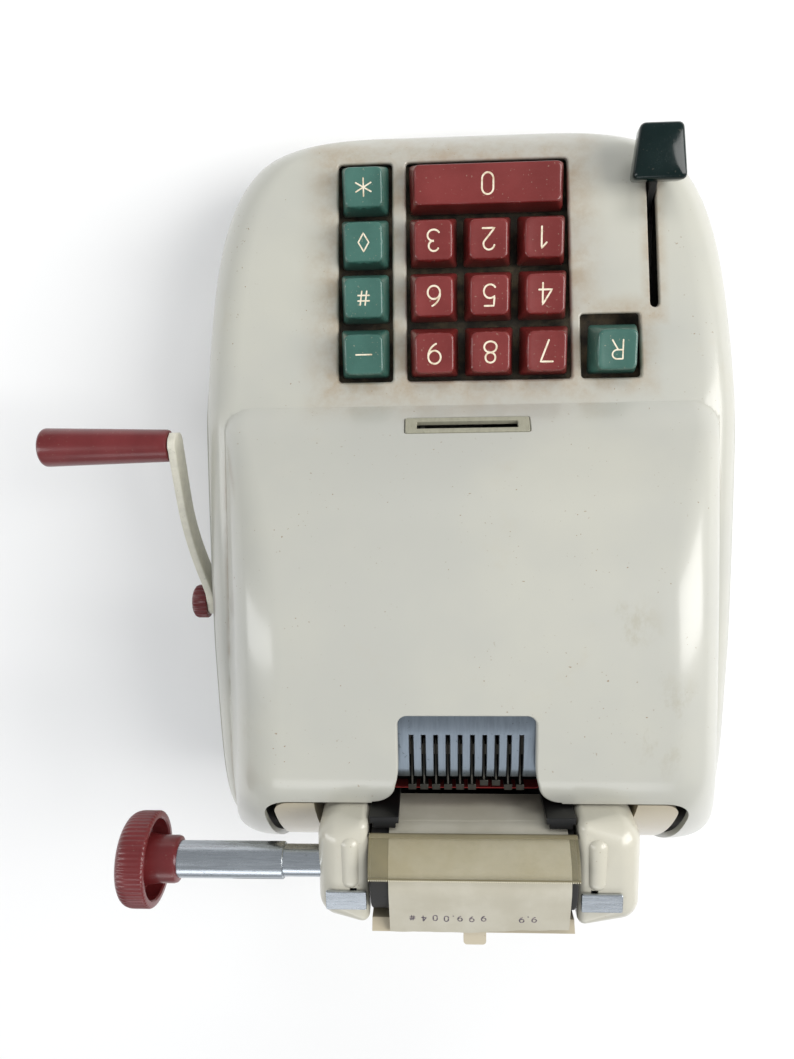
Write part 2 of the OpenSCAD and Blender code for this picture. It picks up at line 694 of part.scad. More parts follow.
module key_8() { color(RED) key(KEYS[8]); }
module key_9() { color(RED) key(KEYS[9]); }
module key_star() { color(GREEN) key(KEYS[10]); }
module key_diamond() { color(GREEN) key(KEYS[11]); }
module key_hash() { color(GREEN) key(KEYS[12]); }
module key_minus() { color(GREEN) key(KEYS[13]); }
module key_repeat() { color(GREEN) key(KEYS[14]); }

// Function lever: a bar that leans forward at rest, with its knob over the deck
deck_zero = deck_z(0);
deck_tan = tan(deck_slope);
lever_back = lever_swing - lever_lean;
slot_front_y = (lever_y - (deck_zero - lever_z) * tan(lever_lean)) / (1 + deck_tan * tan(lever_lean))
  - lever_w / 2 / cos(lever_lean) - 1;
slot_rear_y = (lever_y + (deck_zero - lever_z) * tan(lever_back)) / (1 - deck_tan * tan(lever_back))
  + lever_w / 2 / cos(lever_back) + 1.5;
lever_hub_r = 6;
lever_tip_y = lever_y - lever_reach * sin(lever_lean);
lever_tip_z = lever_z + lever_reach * cos(lever_lean);
module lever_arm() {
  color([0.12, 0.11, 0.1]) difference() {
    union() {
      rod(lever_x - lever_t / 2, lever_x + lever_t / 2, lever_y, lever_z, lever_hub_r);
      translate([lever_x, lever_y, lever_z]) rotate([lever_lean, 0, 0])
        translate([-lever_t / 2, -lever_w / 2, 3]) cube([lever_t, lever_w, lever_reach + 1]);
    }
    rod(lever_x - lever_t, lever_x + lever_t, lever_y, lever_z, shaft_r + run_gap);
  }
}
knob_rear_y = lever_tip_y + 3.2;
module knob_outline(inset, r) {
  d = r + inset;
  hull() for (s = [-1, 1]) {
    translate([s * (lever_knob_wide / 2 - d), -d]) circle(r = r, $fn = ROUND);
    translate([s * (lever_knob_narrow / 2 - d), d - lever_knob_len]) circle(r = r, $fn = ROUND);
  }
}
module lever_knob() {
  color([0.03, 0.13, 0.12]) difference() {
    translate([lever_x, knob_rear_y, lever_tip_z]) hull() {
      linear_extrude(1) knob_outline(0.6, 1.6);
      translate([0, 0, lever_knob_h * 0.7]) linear_extrude(1) knob_outline(0, 1.6);
      translate([0, 0, lever_knob_h - 0.5]) linear_extrude(0.5) knob_outline(1, 2);
    }
    translate([lever_x, lever_y, lever_z]) rotate([lever_lean, 0, 0])
      translate([-lever_t / 2 - TOUCH, -lever_w / 2 - TOUCH, 3])
        cube([lever_t + 2 * TOUCH, lever_w + 2 * TOUCH, lever_reach + 1 + TOUCH]);
  }
}
module lever_pivot() {
  color([0.7, 0.7, 0.68]) {
    rod(-side_frame_x - side_frame_t, lever_x + lever_t / 2 + 2, lever_y, lever_z, shaft_r);
    rod(lever_x + lever_t / 2 + FREE, lever_x + lever_t / 2 + 2, lever_y, lever_z, shaft_r + 2);
    rod(-side_frame_x + FREE / 2, lever_x - lever_t / 2 - FREE, lever_y, lever_z, shaft_r + 2);
  }
}

// Indicator window, set square to the steep front of the hood
window_y = crease_y + 5.5;
window_z = case_top(window_y, seam_step);
window_tilt = atan(case_top(window_y + 1, 0) - case_top(window_y, 0));
module indicator_place() {
  translate([window_x, window_y, window_z]) rotate([window_tilt, 0, 0]) children();
}
indicator_t = 1.8;
scale_depth = 5.2;
scale_t = 0.8;
module indicator_frame() {
  color([0.62, 0.61, 0.52]) indicator_place() difference() {
    translate([0, 0, -indicator_t]) linear_extrude(indicator_t + 0.2)
      rounded(-window_w / 2 + 0.2, window_w / 2 - 0.2, -window_h / 2 + 0.2, window_h / 2 - 0.2, 0.7);
    translate([-window_slot_w / 2, -window_slot_h / 2, -5]) cube([window_slot_w, window_slot_h, 10]);
  }
}
module indicator_scale() {
  color([0.2, 0.2, 0.19]) indicator_place() {
    translate([-window_w / 2 + 1, -window_h / 2 + 1, -scale_depth])
      cube([window_w - 2, window_h - 1.4, scale_t]);
    for (x = [-window_w / 2 + 1, window_w / 2 - 2.2]) translate([x, -window_h / 2 + 1, -scale_depth])
      cube([1.2, window_h - 1.4, scale_depth - indicator_t - TOUCH]);
  }
}

// Type comb: a chrome plate under the rear edge of the type window
comb_y1 = type_front_y + comb_len;
comb_drop = 2.6;
comb_z0 = case_top(type_front_y, seam_step) - case_wall * 1.05 - 0.15;
comb_lip = 7;
column_x = [for (i = [0:type_count - 1]) type_x + (i - (type_count - 1) / 2) * type_pitch];
module type_comb() {
  y0 = type_front_y - 4;
  zb = comb_z0 - comb_drop;
  color([0.62, 0.66, 0.7]) difference() {
    across(type_x - type_w / 2 - 3, type_x + type_w / 2 + 3) polygon([[y0, comb_z0 - 0.9],
      [type_front_y + 2, comb_z0], [comb_y1 - 3, zb + 0.6], [comb_y1, zb - 1.4],
      [comb_y1 + 0.6, zb - comb_lip], [comb_y1 + 0.6 - comb_t, zb - comb_lip],
      [comb_y1 - comb_t, zb - 2], [comb_y1 - 3.6, zb + 0.6 - comb_t],
      [type_front_y + 2, comb_z0 - comb_t], [y0, comb_z0 - 0.9 - comb_t]]);
    for (x = column_x) translate([x - comb_slot_w / 2, comb_y1 - comb_slot_len, 0])
      cube([comb_slot_w, comb_slot_len + 5, FAR]);
  }
}

// Type bars stand behind each other's slots and carry the type over the ribbon
bar_y = comb_y1 - 8;
bar_len = 15;
bar_low_z = wheels_z + wheel_r + 6;
bar_top_z = comb_z0 - comb_drop - 1.2;
head_w = 2.7;
module type_bars() {
  color([0.55, 0.54, 0.5]) for (i = [0:type_count - 1]) {
    short = i == 2 || i == 3 ? 1.6 : 0;
    across(column_x[i] - bar_t / 2, column_x[i] + bar_t / 2) polygon([[bar_y, bar_low_z],
      [bar_y + 3, bar_low_z], [bar_y + 3, bar_top_z - 5], [bar_y + bar_len - short, bar_top_z - 3.4],
      [bar_y + bar_len - short, bar_top_z - 0.4], [bar_y + 2, bar_top_z - 2.4], [bar_y, bar_top_z - 4]]);
    translate([column_x[i] - head_w / 2, bar_y + bar_len - short, bar_top_z - 4.4]) cube([head_w, 2, 4.4]);
  }
}

// Ribbon deck between the side frames, with the two spools and the ribbon
spool_x = [type_x - spool_dx, type_x + spool_dx];
spool_z = ribbon_deck_z + 14;
post_r = 2.4;
module ribbon_deck() {
  color([0.5, 0.5, 0.48]) {
    difference() {
      translate([-frame_out_x, ribbon_deck_y, ribbon_deck_z + TOUCH])
        cube([2 * frame_out_x, hood_rear_y - 2 - ribbon_deck_y, guide_t - TOUCH]);
      translate([column_x[0] - 1, bar_y - 1, 0])
        cube([column_x[type_count - 1] - column_x[0] + 2, bar_len + 5, FAR]);
    }
    for (x = spool_x) translate([x, spool_y, ribbon_deck_z + guide_t / 2]) {
      cylinder(r = 5, h = spool_z - FREE - ribbon_deck_z - guide_t / 2);
      cylinder(r = post_r, h = spool_z + spool_h + 1 - ribbon_deck_z - guide_t / 2);
    }
    for (s = [-1, 1]) translate([type_x + s * (type_w / 2 + 3.2), comb_y1 - 14, ribbon_deck_z + guide_t / 2])
      translate([-1.5, 0, 0]) cube([3, 8, comb_support_z - ribbon_deck_z - guide_t / 2]);
  }
}
comb_support_z = comb_z0 - comb_t - comb_drop * 0.75 - 0.2;
module spool(x) {
  translate([x, spool_y, spool_z]) difference() {
    union() {
      cylinder(r = spool_r, h = 1);
      cylinder(r = ribbon_wound_r, h = spool_h);
      translate([0, 0, spool_h - 1]) cylinder(r = spool_r, h = 1);
    }
    translate([0, 0, -1]) cylinder(r = post_r + run_gap, h = spool_h + 2);
  }
}
module ribbon_spool_left() { color([0.75, 0.72, 0.62]) spool(spool_x[0]); }
module ribbon_spool_right() { color([0.75, 0.72, 0.62]) spool(spool_x[1]); }
ribbon_y = spool_y + ribbon_wound_r + 0.35;
ribbon_t = 0.3;
ribbon_front_y = bar_y + bar_len + 3.2;
module ribbon_run(a, b) {
  polygon([a, b, [b[0], b[1] + ribbon_t], [a[0], a[1] + ribbon_t]]);
}
module ink_ribbon() {
  xl = type_x - type_w / 2 - 1;
  xr = type_x + type_w / 2 + 1;
  color([0.35, 0.05, 0.05]) translate([0, 0, spool_z + 2]) linear_extrude(spool_h - 4) {
    ribbon_run([spool_x[0] + 1, ribbon_y], [xl, ribbon_front_y]);
    ribbon_run([xl, ribbon_front_y], [xr, ribbon_front_y]);
    ribbon_run([xr, ribbon_front_y], [spool_x[1] - 1, ribbon_y]);
  }
}

// Carriage frame: a floor on the side frames and two bearing plates
plate_x = [-cover_in_left - cover_wall - 0.5 - frame_t, cover_in_right + cover_wall + 0.5];
tab_pivot_y = platen_y - 1.5;
tab_pivot_z = platen_z + 5.2;
tab_pin_r = 1;
tab_boss_r = 2;
leg_t = 1.4;
module carriage_frame() {
  floor_half = panel_open_half - FREE;
  color([0.1, 0.1, 0.1]) difference() {
    union() {
      translate([-side_frame_x - side_frame_t, hood_rear_y - 1, carriage_z + TOUCH])
        cube([2 * (side_frame_x + side_frame_t), wing_y - hood_rear_y + 1, frame_t - TOUCH]);
      translate([-floor_half, hood_rear_y - 1, carriage_z + TOUCH])
        cube([2 * floor_half, cover_rear_y - hood_rear_y, frame_t - TOUCH]);
      for (x = plate_x) {
        translate([x, cover_front_y + 6, carriage_z + frame_t / 2])
          cube([frame_t, cover_rear_y - cover_front_y - 12, platen_z - carriage_z]);
        rod(x, x + frame_t, platen_y, platen_z, shaft_r + 3);
        rod(x, x + frame_t, tab_pivot_y, tab_pivot_z, tab_boss_r);
        rod(x > 0 ? x : x - leg_t - 0.6, x > 0 ? x + frame_t + leg_t + 0.6 : x + frame_t,
          tab_pivot_y, tab_pivot_z, tab_pin_r);
      }
    }
    for (x = plate_x) rod(x - 1, x + frame_t + 1, platen_y, platen_z, shaft_r + run_gap);
  }
}

// End covers: hollow caps over the bearing plates, drawn for the crank side
cover_z = carriage_z + frame_t + 0.1;
module end_cover(x_in, x_out, axle_r) {
  inner_r = 2.5;
  slot_x = x_in + cover_wall + 0.5 + frame_t;
  difference() {
    union() {
      hull() for (y = [0, 1]) {
        ro = y == 0 ? cover_r + 1.5 : cover_r;
        yo = y == 0 ? cover_front_y + ro : cover_rear_y - ro;
        yi = y == 0 ? cover_front_y + inner_r : cover_rear_y - inner_r;
        translate([x_out - ro, yo, cover_top_z - ro]) sphere(r = ro, $fn = ROUND);
        translate([x_out - ro, yo, cover_z]) cylinder(r = ro, h = 1, $fn = ROUND);
        translate([x_in + inner_r, yi, cover_top_z - inner_r - (y == 0 ? 1.2 : 0)])
          sphere(r = inner_r, $fn = ROUND);
        translate([x_in + inner_r, yi, cover_z]) cylinder(r = inner_r, h = 1, $fn = ROUND);
      }
      hull() for (y = [cover_front_y + 8, platen_y + 1]) translate([x_in + 6, y, cover_top_z - 1.6])
        scale([1, 1, 0.8]) sphere(r = 3.2, $fn = ROUND);
    }
    translate([x_in + cover_wall, cover_front_y + cover_wall + 2, cover_z - 1])
      cube([x_out - x_in - 2 * cover_wall - 2.4, cover_rear_y - cover_front_y - 2 * cover_wall - 4,
        cover_top_z - cover_z - cover_wall - 3]);
    translate([x_in + cover_wall, platen_y - 6.5, cover_z])
      cube([x_out - x_in - 2 * cover_wall - 4, cover_rear_y - platen_y - 0.5 - 2 * cover_wall + 4,
        cover_top_z - cover_z - 2.2]);
    rod(x_in - 1, x_in + 4, platen_y, platen_z, shaft_r + FREE);
    if (axle_r > 0) rod(x_in + 4, x_out + 1, platen_y, platen_z, axle_r + FREE);
    translate([slot_x, tab_y0 - 2.6, cover_top_z - 8]) cube([leg_t + 0.9, leg_w + 3.4, 20]);
  }
}
module end_cover_right() { color([0.83, 0.81, 0.74]) end_cover(cover_in_right, cover_out_right, tube_r); }
module end_cover_left() {
  color([0.83, 0.81, 0.74]) mirror([1, 0, 0]) end_cover(cover_in_left, cover_out_left, 0);
}

// Release tabs: chrome plates on a leg that pivots inside the cover
tab_y = platen_y + 3.6;
leg_w = 2.6;
tab_y0 = tab_y + 1.6;
tab_z = cover_top_z + 0.35;
tab_t = 1.2;
module release_tab(x_in) {
  x = x_in + cover_wall + 0.5 + frame_t + 0.45;
  difference() {
    union() {
      rod(x, x + leg_t, tab_pivot_y, tab_pivot_z, tab_boss_r);
      across(x, x + leg_t) polygon([[tab_pivot_y, tab_pivot_z - 1], [tab_y0 + leg_w, tab_pivot_z - 1],
        [tab_y0 + leg_w, tab_z + 0.2], [tab_y0, tab_z + 0.2], [tab_y0, tab_pivot_z + 1],
        [tab_pivot_y, tab_pivot_z + 1]]);
      translate([0, 0, tab_z]) linear_extrude(tab_t)
        rounded(x_in + 0.7, x_in + 0.7 + tab_w, tab_y, tab_y + tab_len, 0.5);
    }
    rod(x - 1, x + leg_t + 1, tab_pivot_y, tab_pivot_z, tab_pin_r + run_gap);
  }
}
module release_tab_right() { color([0.65, 0.69, 0.73]) release_tab(cover_in_right); }
module release_tab_left() { color([0.65, 0.69, 0.73]) mirror([1, 0, 0]) release_tab(cover_in_left); }

// Paper guide: an upright plate behind the platen with a flange and a finger tab
guide_y = platen_y + platen_r + 1;
flange_y = guide_y + 3.6;
flange_z = platen_z + platen_r - 3.8;
module paper_guide() {
  color([0.83, 0.8, 0.7]) {
    across(-cover_in_left + 0.8, cover_in_right - 0.8) polygon([[guide_y, carriage_z + frame_t + TOUCH],
      [guide_y + 1.2, carriage_z + frame_t + TOUCH], [guide_y + 1.2, flange_z - 3.4],
      [flange_y, flange_z - 1.2], [flange_y, flange_z], [guide_y, flange_z - 2.2]]);
    translate([0, 0, flange_z - 1.8]) linear_extrude(1.8)
      rounded(paper_x - 2.4, paper_x + 5, flange_y - 1.5, flange_y + 4.6, 1.2);
  }
}

// Paper: up the front of the platen, over its top and onto the guide
paper_r = platen_r + 0.35;
paper_off = 78;
paper_low_z = ribbon_deck_z + 16;
module paper_strip() {
  end_y = flange_y - 0.3;
  slope = tan(90 - paper_off);
  arc = [for (i = [0:14]) let (a = 180 + (paper_off - 180) * i / 14) a];
  top_y = platen_y + paper_r * cos(paper_off);
  top_z = platen_z + paper_r * sin(paper_off);
  color([0.86, 0.83, 0.72]) across(paper_x - paper_w / 2, paper_x + paper_w / 2) polygon(concat(
    [[platen_y - paper_r - paper_t, paper_low_z]],
    [for (a = arc) [platen_y + (paper_r + paper_t) * cos(a), platen_z + (paper_r + paper_t) * sin(a)]],
    [[end_y, top_z + paper_t - (end_y - top_y) * slope], [end_y, top_z - (end_y - top_y) * slope]],
    [for (i = [14:-1:0]) [platen_y + paper_r * cos(arc[i]), platen_z + paper_r * sin(arc[i])]],
    [[platen_y - paper_r, paper_low_z]]));
}

// Paper fingers: black brackets in front of the platen
finger_y0 = hood_rear_y + 0.9;
finger_z = platen_z + 5;
finger_w = 9.6;
finger_low_z = platen_z - 18;
module paper_finger(x) {
  color([0.06, 0.06, 0.06]) {
    translate([x, finger_y0, finger_low_z]) cube([finger_w, 2.4, finger_z - finger_low_z]);
    translate([x + 1, finger_y0, finger_z - 1.4])
      cube([finger_w - 2, hinge_y - guard_bead_r - FREE - finger_y0, 1.4]);
    translate([x + finger_w / 2 - 2, finger_y0, carriage_z + frame_t + TOUCH])
      cube([4, 1.8, finger_low_z + 1 - carriage_z - frame_t]);
  }
}
module paper_finger_right() { paper_finger(cover_in_right - 0.4 - finger_w); }
module paper_finger_left() { paper_finger(-cover_in_left + 0.4); }

// Tear guard: a clear sheet round the front of the platen, hinged on its front bead
guard_r = platen_r + guard_gap;
guard_a0 = 103;
guard_a1 = 153;
guard_mid = guard_r + guard_t / 2;
hinge_y = platen_y + guard_mid * cos(guard_a1);
hinge_z = platen_z + guard_mid * sin(guard_a1);
guard_bead_r = 0.8;
module tear_guard() {
  x0 = -cover_in_left + 0.4;
  x1 = cover_in_right - 0.4;
  color([0.85, 0.82, 0.6, 0.5]) {
    across(x0, x1) translate([platen_y, platen_z]) difference() {
      intersection() {
        circle(r = guard_r + guard_t, $fn = 96);
        polygon([[0, 0], [2 * guard_r * cos(guard_a0), 2 * guard_r * sin(guard_a0)],
          [-2 * guard_r, 2 * guard_r], [2 * guard_r * cos(guard_a1), 2 * guard_r * sin(guard_a1)]]);
      }
      circle(r = guard_r, $fn = 96);
    }
    rod(x0, x1, hinge_y, hinge_z, guard_bead_r);
  }
}

// Platen, shaft, chrome sleeve and knob turn as one
step_x0 = cover_in_right + 7;
step_x1 = sleeve_in_x + 3;
knob_hub_len = 8;
sleeve_out_x = knob_out_x - knob_len - knob_hub_len;
knob_wall = 2.6;
module platen() {
  color([0.16, 0.16, 0.16]) difference() {
    rod(platen_x - platen_half, platen_x + platen_half, platen_y, platen_z, platen_r, $fn = 96);
    rod(-FAR, FAR, platen_y, platen_z, shaft_r + TOUCH);
  }
}
module platen_shaft() {
  color([0.7, 0.72, 0.74]) {
    rod(plate_x[0] - 1.5, step_x0 + 1, platen_y, platen_z, shaft_r);
    rod(step_x0, step_x1, platen_y, platen_z, tube_r);
    rod(step_x1 - 1, knob_out_x - 4, platen_y, platen_z, shaft_r);
  }
}
module platen_sleeve() {
  color([0.66, 0.7, 0.75]) difference() {
    rod(sleeve_in_x, sleeve_out_x, platen_y, platen_z, sleeve_r);
    rod(sleeve_in_x - 1, step_x1 + TOUCH, platen_y, platen_z, tube_r + TOUCH);
    rod(step_x1, sleeve_out_x + 1, platen_y, platen_z, shaft_r + TOUCH);
    translate([sleeve_in_x - 1, platen_y, platen_z - 0.3]) cube([21, sleeve_r + 1, 0.6]);
  }
}
module ribbed(r, depth, count) {
  steps = count * 4;
  polygon([for (i = [0:steps - 1]) let (a = 360 * i / steps, q = r - depth * (i % 4 < 2 ? 0 : 1))
    [q * cos(a), q * sin(a)]]);
}
module platen_knob() {
  rim_x = knob_out_x - knob_len;
  color(RED) difference() {
    union() {
      translate([rim_x, platen_y, platen_z]) rotate([0, 90, 0])
        linear_extrude(knob_len - 1) ribbed(knob_r, 0.5, knob_ribs);
      translate([knob_out_x - 1, platen_y, platen_z]) rotate([0, 90, 0])
        cylinder(r1 = knob_r - 0.5, r2 = knob_r - 2, h = 1);
    }
    translate([rim_x - 1, platen_y, platen_z]) rotate([0, 90, 0])
      cylinder(r = knob_r - knob_wall, h = knob_len - 2);
    rod(rim_x - 1, knob_out_x - 4 + TOUCH, platen_y, platen_z, shaft_r + TOUCH);
  }
  color(RED) difference() {
    rod(sleeve_out_x, knob_out_x - 3, platen_y, platen_z, sleeve_r + 1.7);
    rod(sleeve_out_x - 1, knob_out_x - 4 + TOUCH, platen_y, platen_z, shaft_r + TOUCH);
  }
}

// Crank: shaft in a bush, a bent flat arm, a ribbed hub and a turning grip
bush_wall = 2.6;
case_x = case_half(crank_y, 0) - (crank_z - belt_z) * tan(side_lean);
arm_hub_x = case_x + arm_gap;
module crank_bush() {
  color([0.72, 0.62, 0.35]) difference() {
    rod(case_x - 6, arm_hub_x - FREE, crank_y, crank_z, crank_shaft_r + bush_wall);
    rod(case_x - 7, arm_hub_x, crank_y, crank_z, crank_shaft_r + run_gap);
  }
}
module crank_shaft() {
  color([0.6, 0.6, 0.58]) {
    rod(side_frame_x - 8, arm_hub_x + arm_t + hub_len - 2, crank_y, crank_z, crank_shaft_r);
    rod(side_frame_x - 5, side_frame_x - 1, crank_y, crank_z, crank_shaft_r + 5);
    rod(side_frame_x + side_frame_t + FREE, side_frame_x + side_frame_t + 3, crank_y, crank_z,
      crank_shaft_r + 2);
  }
}
module crank_place() {
  translate([arm_hub_x, crank_y, crank_z]) rotate([-crank_rest, 0, 0]) children();
}
module crank_arm() {
  bent = arm_bend_end - 8;
  color([0.8, 0.79, 0.72]) crank_place() difference() {
    union() {
      translate([0, 0, -arm_w / 2]) linear_extrude(arm_w) polygon([[0, 0], [0, -8], [arm_bend, -8 - bent],
        [arm_bend, -crank_len], [arm_bend + arm_t, -crank_len], [arm_bend + arm_t, -8.8 - bent + 1.6],
        [arm_t, -7.2], [arm_t, 0]]);
      rod(0, arm_t, 0, 0, hub_r + 0.7);
      rod(arm_bend, arm_bend + arm_t, -crank_len, 0, arm_w / 2 + 1.4);
    }
    rod(-1, arm_t + 1, 0, 0, crank_shaft_r + TOUCH);
    rod(arm_bend - 1, arm_bend + arm_t + 1, -crank_len, 0, grip_pin_r + TOUCH);
  }
}
module crank_hub() {
  x0 = arm_hub_x + arm_t + TOUCH;
  color(RED) difference() {
    union() {
      translate([x0, crank_y, crank_z]) rotate([0, 90, 0])
        linear_extrude(hub_len - 1.2) ribbed(hub_r, 0.5, hub_ribs);
      translate([x0 + hub_len - 1.2, crank_y, crank_z]) rotate([0, 90, 0])
        cylinder(r1 = hub_r - 0.5, r2 = hub_r - 1.6, h = 1.2);
    }
    rod(x0 - 1, arm_hub_x + arm_t + hub_len - 2 + TOUCH, crank_y, crank_z, crank_shaft_r + TOUCH);
  }
}
grip_x = arm_hub_x + arm_bend + arm_t + FREE;
grip_y = crank_y - crank_len * cos(crank_rest);
grip_z = crank_z + crank_len * sin(crank_rest);
grip_bore = grip_len - 9;
module grip_pin() {
  color([0.6, 0.6, 0.58]) rod(arm_hub_x + arm_bend, grip_x + grip_bore - 1, grip_y, grip_z, grip_pin_r);
}
module crank_grip() {
  color(RED) translate([grip_x, grip_y, grip_z]) rotate([0, 90, 0]) difference() {
    rotate_extrude() polygon(concat([[0, 0], [grip_r_in - 0.8, 0], [grip_r_in, 0.8]],
      [for (i = [0:5]) let (a = 90 * i / 5) [grip_r_out - 2 + 2 * cos(a), grip_len - 2 + 2 * sin(a)]],
      [[0, grip_len]]));
    translate([0, 0, -1]) cylinder(r = grip_pin_r + run_gap, h = grip_bore + 1);
  }
}

// Pin carriage under the keyboard's rear edge, with the pointer of the indicator
pointer_x = window_x + pin_travel / 2;
function in_window(v, n) = [window_y + v * cos(window_tilt) - n * sin(window_tilt),
  window_z + v * sin(window_tilt) + n * cos(window_tilt)];
module thick_line(a, b, w) {
  hull() { translate(a) circle(d = w, $fn = 16); translate(b) circle(d = w, $fn = 16); }
}
module pin_carriage() {
  foot = [rod_front_y, rod_z + rod_r + 2];
  under = in_window(-5.4, -9);
  turn = in_window(-5.4, -3.2);
  tip = in_window(0.6, -3.2);
  x0 = pointer_x - pin_carriage_w / 2;
  color([0.6, 0.58, 0.5]) difference() {
    union() {
      translate([x0, rod_front_y - 6, rod_z - 6])
        cube([pin_carriage_w, rod_rear_y - rod_front_y + 12, 12]);
      across(pointer_x - 0.8, pointer_x + 0.8) {
        thick_line(foot, under, 2.4);
        thick_line(under, turn, 0.9);
        thick_line(turn, tip, 0.9);
      }
    }
    for (p = [[rod_front_y, rod_z], [rod_rear_y, rod_z]])
      rod(x0 - 1, x0 + pin_carriage_w + 1, p[0], p[1], rod_r + run_gap);
  }
}

// Number wheels on their shaft
module number_wheels() {
  color([0.75, 0.73, 0.66]) difference() {
    for (x = column_x) rod(x - wheel_t / 2, x + wheel_t / 2, wheels_y, wheels_z, wheel_r);
    rod(-FAR, FAR, wheels_y, wheels_z, shaft_r + TOUCH);
  }
}
module wheel_shaft() {
  color([0.7, 0.7, 0.68]) {
    rod(-side_frame_x - side_frame_t - 1, side_frame_x + side_frame_t + 1, wheels_y, wheels_z, shaft_r);
    for (x = [-side_frame_x + FREE, side_frame_x - FREE - 2]) rod(x, x + 2, wheels_y, wheels_z, shaft_r + 2);
  }
}

// The origin is under the middle of the whole machine, crank and knob included
origin_x = (grip_x + grip_len - case_half_w) / 2;
origin_y = (case_rear - case_front) / 2;
module place() { translate([-origin_x, -origin_y, 0]) children(); }
place() base_plate();
place() rubber_feet();
place() base_screws();
place() lower_case();
place() top_case();
place() rear_panel();
place() side_frame_right();
place() side_frame_left();
place() tie_rods();
place() key_bed();
place() stem_guide();
place() indicator_frame();
place() indicator_scale();
place() type_comb();
place() type_bars();
place() ribbon_deck();
place() ink_ribbon();
place() ribbon_spool_right();
place() ribbon_spool_left();
place() carriage_frame();
place() end_cover_right();
place() end_cover_left();
place() paper_guide();
place() paper_strip();
place() paper_finger_right();
place() paper_finger_left();
place() tear_guard();
place() release_tab_right();
place() release_tab_left();
place() platen();
place() platen_shaft();
place() platen_sleeve();
place() platen_knob();
place() crank_bush();
place() crank_shaft();
place() crank_arm();
place() crank_hub();
place() crank_grip();
place() grip_pin();
place() lever_arm();
place() lever_knob();
place() lever_pivot();
place() pin_carriage();
place() number_wheels();
place() wheel_shaft();
place() key_0();
place() key_1();
place() key_2();
place() key_3();
place() key_4();
place() key_5();
place() key_6();
place() key_7();
place() key_8();
place() key_9();
place() key_star();
place() key_diamond();
place() key_hash();
place() key_minus();
place() key_repeat();
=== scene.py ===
# %% [markdown]
# # A ten-key adding machine, from a packed CAD frame to a studio picture
#
# The real machine is an enamelled case with a keyboard, a crank and a paper carriage. Its CAD part gives
# every solid its place and its joints. The solids could be rendered as they are, but flat faces and hard
# edges would give them away, so this lesson puts a finer skin on each: a smooth casing, dished keys with
# legends, a printed paper strip, chrome, worn plastic and enamel.
# All lengths in the cells below are millimetres in the frame of the case, whose zero is the middle
# of the case on the table. One helper turns them into the metres of the packed frame.

import json
import math

import bmesh
import bpy
import numpy as np
from mathutils import Matrix, Vector
from mathutils.bvhtree import BVHTree
from mathutils.interpolate import poly_3d_calc


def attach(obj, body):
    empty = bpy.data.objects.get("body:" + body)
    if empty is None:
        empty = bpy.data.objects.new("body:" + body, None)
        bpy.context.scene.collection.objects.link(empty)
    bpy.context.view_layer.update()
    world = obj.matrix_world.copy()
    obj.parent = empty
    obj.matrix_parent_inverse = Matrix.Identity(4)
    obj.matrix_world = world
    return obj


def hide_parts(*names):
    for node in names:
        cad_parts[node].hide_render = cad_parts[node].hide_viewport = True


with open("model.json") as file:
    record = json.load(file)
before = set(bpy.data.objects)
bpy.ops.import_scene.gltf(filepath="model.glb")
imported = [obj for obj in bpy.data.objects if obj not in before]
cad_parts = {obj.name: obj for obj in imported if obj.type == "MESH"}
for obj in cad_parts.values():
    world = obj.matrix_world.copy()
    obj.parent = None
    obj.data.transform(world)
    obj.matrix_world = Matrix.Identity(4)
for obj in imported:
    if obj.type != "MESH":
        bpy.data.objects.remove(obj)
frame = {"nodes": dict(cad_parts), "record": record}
NODES = frame["nodes"]
BODY = {n: b for b, names in frame["record"]["behaviour"]["bodies"].items() for n in names}
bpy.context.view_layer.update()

# %% [markdown]
# ## Sizes of the case
#
# The real case is two pressed shells. They could be pushed into shape by hand, but a form that is worked
# out from a few lengths stays exact, and the openings can follow it later.
# The skirt is the foot of the body: half its width, and the height where it starts. SIDE_W is half the width
# at the height SIDE_Z, and EDGE_R the radius of the upper edge. The tapers narrow the case to the front,
# and SQ_FRONT and SQ_REAR say how square its corners are. The deck rises by SLOPE up to the crease,
# where the hood takes over. LOW_FRONT and LOW_REAR are the heights down to which both ends are rounded.
# The upper shell stands back by STEP from the lower one, and WALL is the thickness of the sheet.
# The origin of the packed frame is under the middle of the whole machine, crank included,
# which is OX to the crank side of the middle of the case and OY behind it.

# %% Sizes of the case
OX, OY = 26.6, 4.0
HALF_W, FRONT, REAR = 109.0, 135.0, 143.0
SKIRT, SKIRT_W, SKIRT_TAPER = 5.0, 102.9, 0.13
SIDE_W, SIDE_Z, SIDE_TAPER, TAPER_Y = 101.4, 65.0, 0.086, 60.0
EDGE_R, SQ_FRONT, SQ_REAR = 16.0, 6.0, 11.0
WALL, STEP = 2.2, 0.7
DECK_Z0, DECK_EDGE, SLOPE = 49.0, 11.0, math.tan(math.radians(17.5))
LOW_FRONT, LOW_REAR, BODY_REAR = 34.0, 42.0, 120.0


def metres(points):
    """Case-frame millimetres to packed-frame metres."""
    return (np.asarray(points, float) - (OX, OY, 0.0)) / 1000.0


print("case:", 2 * HALF_W, "x", FRONT + REAR, "mm, deck", DECK_Z0, "mm high at its front")

# %% [markdown]
# ## Sizes of the hood
#
# The hood rises from the deck at CREASE to its top at CREST, and falls again to HOOD_END. FOOT_W is half the
# width of its foot, which grows by FOOT_SPREAD to the rear, and HOOD_PLAN is where that foot ends in plan.
# Its sides lean inwards, and the radius of its upper edge grows from FOOT_R to HOOD_R. HOOD_LOW is the
# height, hidden in the body, where its skin starts. SOFT is how softly deck and ledge meet. The three
# curves are powers: a larger one stays flat for longer and then turns faster.

